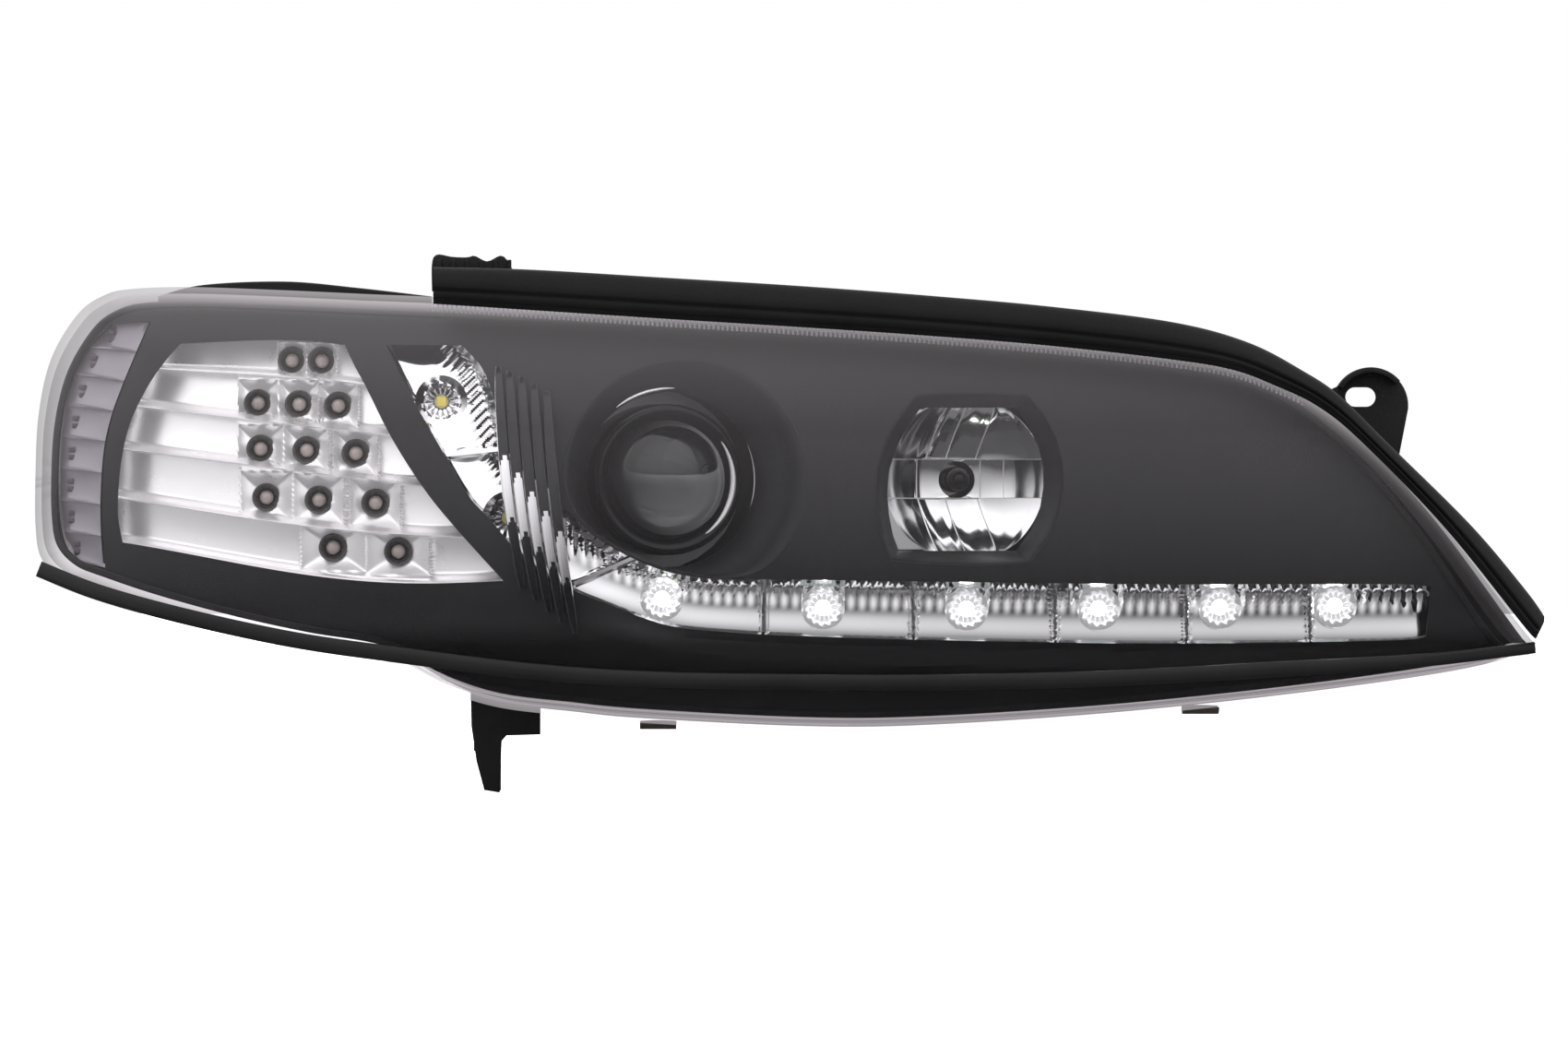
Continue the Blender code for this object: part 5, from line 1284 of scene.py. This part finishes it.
def bulb_clip(name, x, seat, body):
    y, low = seat + 4.2, CLIP_PIVOT_Z
    leg = [(13, low), (9.6, low), (9, low + 0.7), (9, -6), (9, 2), (8.6, 8), (7.4, 12), (5, 15)]
    points = [(x - wide, y, z) for wide, z in leg] + [(x, y, 15.2)] + [(x + wide, y, z) for wide, z in leg[::-1]]
    clip = Shape(OPTICS)
    clip.wire(smooth_path(points, 90), 0.8, 12)
    piece(name + "_wire", clip, ["steel"], body, name)


def adjusters():
    """The pan wheel with its thumb notches, and the levelling motor with its manual knob."""
    start, end = PAN_BOSS_END + 0.4, PAN_BOSS_END + 10
    wheel = Shape(OPTICS)
    rings = []
    for k in range(160):
        a = 2 * math.pi * k / 160
        dip = 1.1 * max(0.0, math.cos(8 * a)) ** 2
        rings.append([(PAN_X + r * math.cos(a), y, PIVOT_Z + r * math.sin(a)) for r, y in (
            (3.1, start), (9.2 - dip, start), (9.8 - dip, start + 0.6), (9.8 - dip, end - 0.6), (9.2 - dip, end),
            (5.2, end), (4.8, end - 1.2), (3.1, end - 1.2))])
    wheel.loft(rings, round_run=True)
    piece("pan_thumbwheel", wheel, ["nylon"], "pan_wheel", "pan_wheel")

    end = LEVEL_BOSS_END
    motor = Shape(OPTICS)
    motor.rod(20, end + 0.4, end + 14, PIVOT_X, LEVEL_Z, 96, 0.8)
    for k in range(10):
        a = math.radians(36 * k + 12)
        x, z = PIVOT_X + 20 * math.cos(a), LEVEL_Z + 20 * math.sin(a)
        motor.rod(1.6, end + 0.8, end + 12.4, x, z, 16, 0.4)
    motor.brick((PIVOT_X - 26, end + 13, -70), (PIVOT_X + 14, end + 33.6, -34), 1.2, 5)
    motor.brick((PIVOT_X - 24.6, end + 30, -68.6), (PIVOT_X + 12.6, end + 35, -35.4), 0.8, 4.4)
    for dx, z in ((-22.5, -66.4), (10.4, -66.4), (-22.5, -37.6), (10.4, -37.6)):
        motor.tube(1.1, 2.1, end + 34, end + 36, PIVOT_X + dx, z, 24, 0.2)
    shell, hollow = Shape(OPTICS), Shape(OPTICS)
    shell.brick((PIVOT_X - 8, end + 18, -84), (PIVOT_X + 8, end + 30, -66), 0.6, 1.2)
    hollow.brick((PIVOT_X - 6, end + 20, -92), (PIVOT_X + 6, end + 28, -76), 0.4, 0.8)
    plus(motor, cut(shell, hollow))
    for dx in (-3, 0, 3):
        motor.brick((PIVOT_X + dx - 0.5, end + 23.4, -82), (PIVOT_X + dx + 0.5, end + 24.6, -75), 0.1, 0.2)
    motor.brick((PIVOT_X - 2.5, end + 29.6, -83), (PIVOT_X + 2.5, end + 31.4, -72), 0.3, 0.6)
    piece("levelling_motor", motor, ["black_plastic"], "housing", "level_motor")

    x, z = PIVOT_X - 6, LEVEL_Z - 8
    knob, slot = Shape(OPTICS), Shape(OPTICS)

    def grip(y, a):
        return -0.35 * max(0.0, math.cos(20 * a)) if end + 36 < y < end + 44 else 0.0
    knob.turn([(0, end + 35.4), (6, end + 35.4), (6, end + 43.6), (5.4, end + 44.6), (4.6, end + 45),
               (0, end + 45)], x, z, 120, ripple=grip)
    slot.slab([(x - 9, z - 0.8), (x + 9, z - 0.8), (x + 9, z + 0.8), (x - 9, z + 0.8)], end + 43, end + 50, 0)
    piece("levelling_knob", cut(knob, slot), ["nylon"], "level_knob", "level_knob")


def rear_cap(name, x, end, body):
    """A rubber cap with grip ribs round its skirt and a pull tab, pushed over its neck."""
    profile = [(0, end + 6), (14, end + 6), (15, end + 5.2), (17, end + 5.2), (18, end + 6), (CAP_R - 6, end + 6),
               (CAP_R - 4.4, end + 5.6), (CAP_R - 2.6, end + 4.2), (CAP_R - 1.6, end + 2), (CAP_R - 0.9, end - 0.5),
               (CAP_R - 0.9, end - 7.6), (CAP_R, end - 8.4), (CAP_R, end - 10), (NECK_R + GAP, end - 10),
               (NECK_R + GAP, end + GAP), (22, end + GAP), (20, end + 2.6), (0, end + 2.6)]

    def grip(y, a):
        return -0.8 * (0.5 - 0.5 * math.cos(48 * a)) if end - 8 < y < end + 2.5 else 0.0
    cap = Shape(OPTICS)
    cap.turn(profile, x, 0, 288, ripple=grip)
    cap.slab([(x - 7, -14), (x + 7, -14), (x + 7, -11), (x - 7, -11)], end + 4, end + 12, 0.7)
    piece(name + "_cover", cap, ["rubber"], body, name)


# ---------------------------------------------------------------- electrical parts and fasteners

def connector():
    """The plug socket: a shrouded block with a locking nose and its blades inside."""
    y = BACK_Y + 0.4
    shell, hollow = Shape(), Shape()
    shell.brick((136, y, -40), (172, y + 23, -18), 0.7, 2.4)
    hollow.brick((138.4, y + 8, -37.6), (169.6, y + 40, -20.4), 0.3, 1.4)
    socket = Shape()
    plus(socket, cut(shell, hollow))
    socket.brick((150, y + 8, -18.4), (158, y + 20, -15.8), 0.4, 0.6)
    for x in (139, 167):
        socket.brick((x - 0.8, y + 1, -18.6), (x + 0.8, y + 21, -17), 0.2, 0.3)
    socket.paint = 1
    for k in range(4):
        x = 143.5 + 7 * k
        for z in (-33.4, -26.4):
            socket.pad(x, z, 1.4, 0.4, y + 5, y + 18, 0.15, 0.2)
    piece("plug_socket", socket, ["black_plastic", "brass"], "housing", "main_connector")


def driver_box():
    """The finned LED driver, screwed to the housing's back by its two ears."""
    left, y = -190, BACK_Y + 0.4
    box = Shape()
    box.brick((left, y, -6), (left + 62, y + 15, 34), 0.8, 3)
    for k in range(8):
        x = left + 3.2 + 8 * k - (0.6 if k == 7 else 0)
        box.brick((x - 1.3, y + 10, -5), (x + 1.5, y + 22, 33), 0.5, 0.7)
    box.brick((left - 9, y + 0.05, 8), (left + 71, y + 2.5, 20), 0.4, 4)
    box.brick((left + 62 - 0.5, y + 4, -4), (left + 66, y + 12, 6), 0.4, 1)
    piece("driver_heatsink", box, ["cast_metal"], "housing", "led_driver")
    for name, x in (("driver_screw_outboard", left - 4.8), ("driver_screw_inboard", left + 66.8)):
        screw(name, x, y + 2.9, 14)


def screw(name, x, y, z):
    """A pan-head screw with a cross slot."""
    head = Shape()
    head.turn([(0, y)] + [(4, y), (4, y + 1.2), (3.8, y + 1.9), (3.2, y + 2.6), (2.2, y + 3.1), (1, y + 3.25),
                          (0, y + 3.25)], x, z, 48)
    slots = []
    for wide, tall in ((2.4, 0.5), (0.5, 2.4)):
        slot = Shape()
        slot.slab([(x - wide, z - tall), (x + wide, z - tall), (x + wide, z + tall), (x - wide, z + tall)],
                  y + 1.8, y + 8, 0)
        slots.append(slot)
    piece(name + "_head", cut(head, *slots), ["steel"], "housing", name)


def harness():
    """The corrugated cable from the LED driver along the housing's back to the plug socket."""
    y = BACK_Y + 9
    points = smooth_path([(-126, y, 6), (-112, y + 3, -2), (-98, y + 3, -34), (-60, y + 1, -78), (0, y, -79),
                          (80, y, -79), (118, y, -64), (126, y, -40), (133.5, y, -29)], 420)
    cable = Shape()
    cable.wire(points, lambda k: 2.55 + 0.45 * (0.5 - 0.5 * math.cos(math.pi * (k % 4) / 2)), 18)
    for k in (110, 235, 320):
        x, cy, z = points[k]
        cable.pad(x, z, 3, 3.9, cy - 8.6, cy + 3.9, 0.5, 1)
    piece("rear_cable", cable, ["rubber"], "housing", "harness_cable")


def vent(name, x, z):
    """A breather cap with slots round its skirt."""
    y = back_y(x) + GAP + 0.2
    cap = Shape()
    cap.turn([(0, y + 9), (3, y + 9), (3.6, y + 8.5), (4.4, y + 9), (6.8, y + 9), (7.7, y + 8.2), (8, y + 7),
              (8, y + 1.7), (7.6, y + 1.3), (6, y), (0, y)], x, z, 96,
             ripple=lambda py, a: -0.6 * max(0.0, math.cos(12 * a)) ** 2 if y + 1.5 < py < y + 7.5 else 0.0)
    piece(name + "_cover", cap, ["rubber"], "housing", name)


# ---------------------------------------------------------------- the rest of the scene

def finish_cad_nodes():
    """Inner CAD pieces whose shape is right keep it, with a softened edge and their slot's finish."""
    for record in frame["record"]["subparts"]:
        node = frame["nodes"][record["node"]]
        if node.hide_render:
            continue
        node.data.materials.clear()
        node.data.materials.append(looks[record["material_slot"]])
        edge = node.modifiers.new("edge", "BEVEL")
        edge.width = 0.3 * MM
        edge.segments = 2
        edge.limit_method = "ANGLE"
        edge.angle_limit = math.radians(40)
        edge.harden_normals = True


def stage(low_z):
    """A wide, pale floor."""
    tree, shader, at = new_look("paper")
    pale = tint(tree, noise(tree, at, 3), (0.9, 0.9, 0.9), (0.93, 0.93, 0.93))
    tree.links.new(pale, shader.inputs["Base Color"])
    tree.links.new(spread(tree, noise(tree, at, 400), 0.7, 0.9), shader.inputs["Roughness"])
    shader.inputs["Emission Color"].default_value = (1, 1, 1, 1)
    seen = add(tree, "LightPath").outputs["Is Camera Ray"]
    tree.links.new(add(tree, "MapRange", {"Value": seen, "To Min": 0.1, "To Max": 1.3}).outputs["Result"],
                   shader.inputs["Emission Strength"])
    bm = bmesh.new()
    bmesh.ops.create_circle(bm, cap_ends=True, segments=128, radius=12)
    bmesh.ops.translate(bm, verts=bm.verts, vec=(-0.2, 0, low_z))
    mesh = bpy.data.meshes.new("floor")
    bm.to_mesh(mesh)
    bm.free()
    mesh.materials.append(looks["paper"])
    floor = bpy.data.objects.new("floor", mesh)
    floor.visible_glossy = False
    bpy.context.scene.collection.objects.link(floor)


def world_light():
    """A white tent: bright above, dimmer below, and plain white where it's seen directly."""
    world = bpy.data.worlds.new("tent")
    bpy.context.scene.world = world
    world.use_nodes = True
    tree = world.node_tree
    height = split_xyz(tree, "Generated")["Z"]
    above = remap(tree, height, -0.25, 0.8, 0.3, TENT_TOP)
    path = add(tree, "LightPath").outputs
    either = add(tree, "Mix", {0: path["Is Glossy Ray"], 2: above, 3: sky(tree, height)}).outputs[0]
    strength = maths(tree, "MAXIMUM", either, path["Is Camera Ray"])
    tree.links.new(strength, tree.nodes["Background"].inputs["Strength"])
    tree.nodes["Background"].inputs["Color"].default_value = (1, 1, 1, 1)


def soft_box(name, place, target, size, power, mirrored):
    lamp = bpy.data.lights.new(name, "AREA")
    lamp.shape = "RECTANGLE"
    lamp.size, lamp.size_y = size
    lamp.energy = power
    obj = bpy.data.objects.new(name, lamp)
    bpy.context.scene.collection.objects.link(obj)
    obj.location = place
    obj.visible_glossy = mirrored
    obj.rotation_euler = (Vector(target) - Vector(place)).to_track_quat("-Z", "Y").to_euler()


def lights_and_camera():
    low, high = cad_bounds
    middle = (low + high) / 2
    soft_box("top_box", middle + Vector((0.1, -0.7, 1.5)), middle, (1.8, 0.9), 7, False)
    soft_box("left_box", middle + Vector((-1.9, -0.5, 0.5)), middle, (0.9, 1.2), 4, False)
    soft_box("right_box", middle + Vector((1.9, -0.4, 0.6)), middle, (0.8, 1.2), 5, True)
    camera = bpy.data.objects.new("camera", bpy.data.cameras.new("camera"))
    bpy.context.scene.collection.objects.link(camera)
    camera.location = LAYOUT @ (Vector((CAMERA_X, CAMERA_Y, CAMERA_Z)) * MM)
    camera.rotation_euler = (math.pi / 2, 0, 0)
    camera.data.lens = camera.data.sensor_width * (FRAMED_Y - CAMERA_Y) / FRAME_WIDE
    camera.data.clip_end = 100
    bpy.context.scene.camera = camera
    bpy.context.scene.view_settings.view_transform = "Standard"


def build():
    make_looks()
    front_lens()
    housing()
    top_seal_strip()
    bottom_trim_strip()
    lens_clip("lens_clip_outboard", -6)
    lens_clip("lens_clip_inboard", 209)
    bezel()
    indicator_reflector()
    for number, places in enumerate(INDICATOR_ROWS, 1):
        indicator_row(number, places)
    marker_lens()
    strip_reflector()
    for number, (x, z) in enumerate(STRIP_LEDS, 1):
        strip_led(number, x, z, number >= FIRST_LIT)
    fin_lens()
    projector()
    high_reflector()
    for beam, x, seat in (("low", LOW_X, LOW_SEAT), ("high", HIGH_X, HIGH_SEAT)):
        bulb(beam + "_beam_bulb", x, seat)
        bulb_plug(beam + "_beam_plug", x, seat)
        bulb_clip(beam + "_beam_bulb_clip", x, seat, beam + "_clip")
    adjusters()
    rear_cap("low_beam_cap", LOW_X, LOW_NECK_END, "low_cap")
    rear_cap("high_beam_cap", HIGH_X, HIGH_NECK_END, "high_cap")
    connector()
    driver_box()
    harness()
    vent("vent_cap_outboard", -205, 40)
    vent("vent_cap_inboard", 150, 14)
    finish_cad_nodes()
    stage(cad_bounds[0].z - 0.001)
    world_light()
    lights_and_camera()


build()
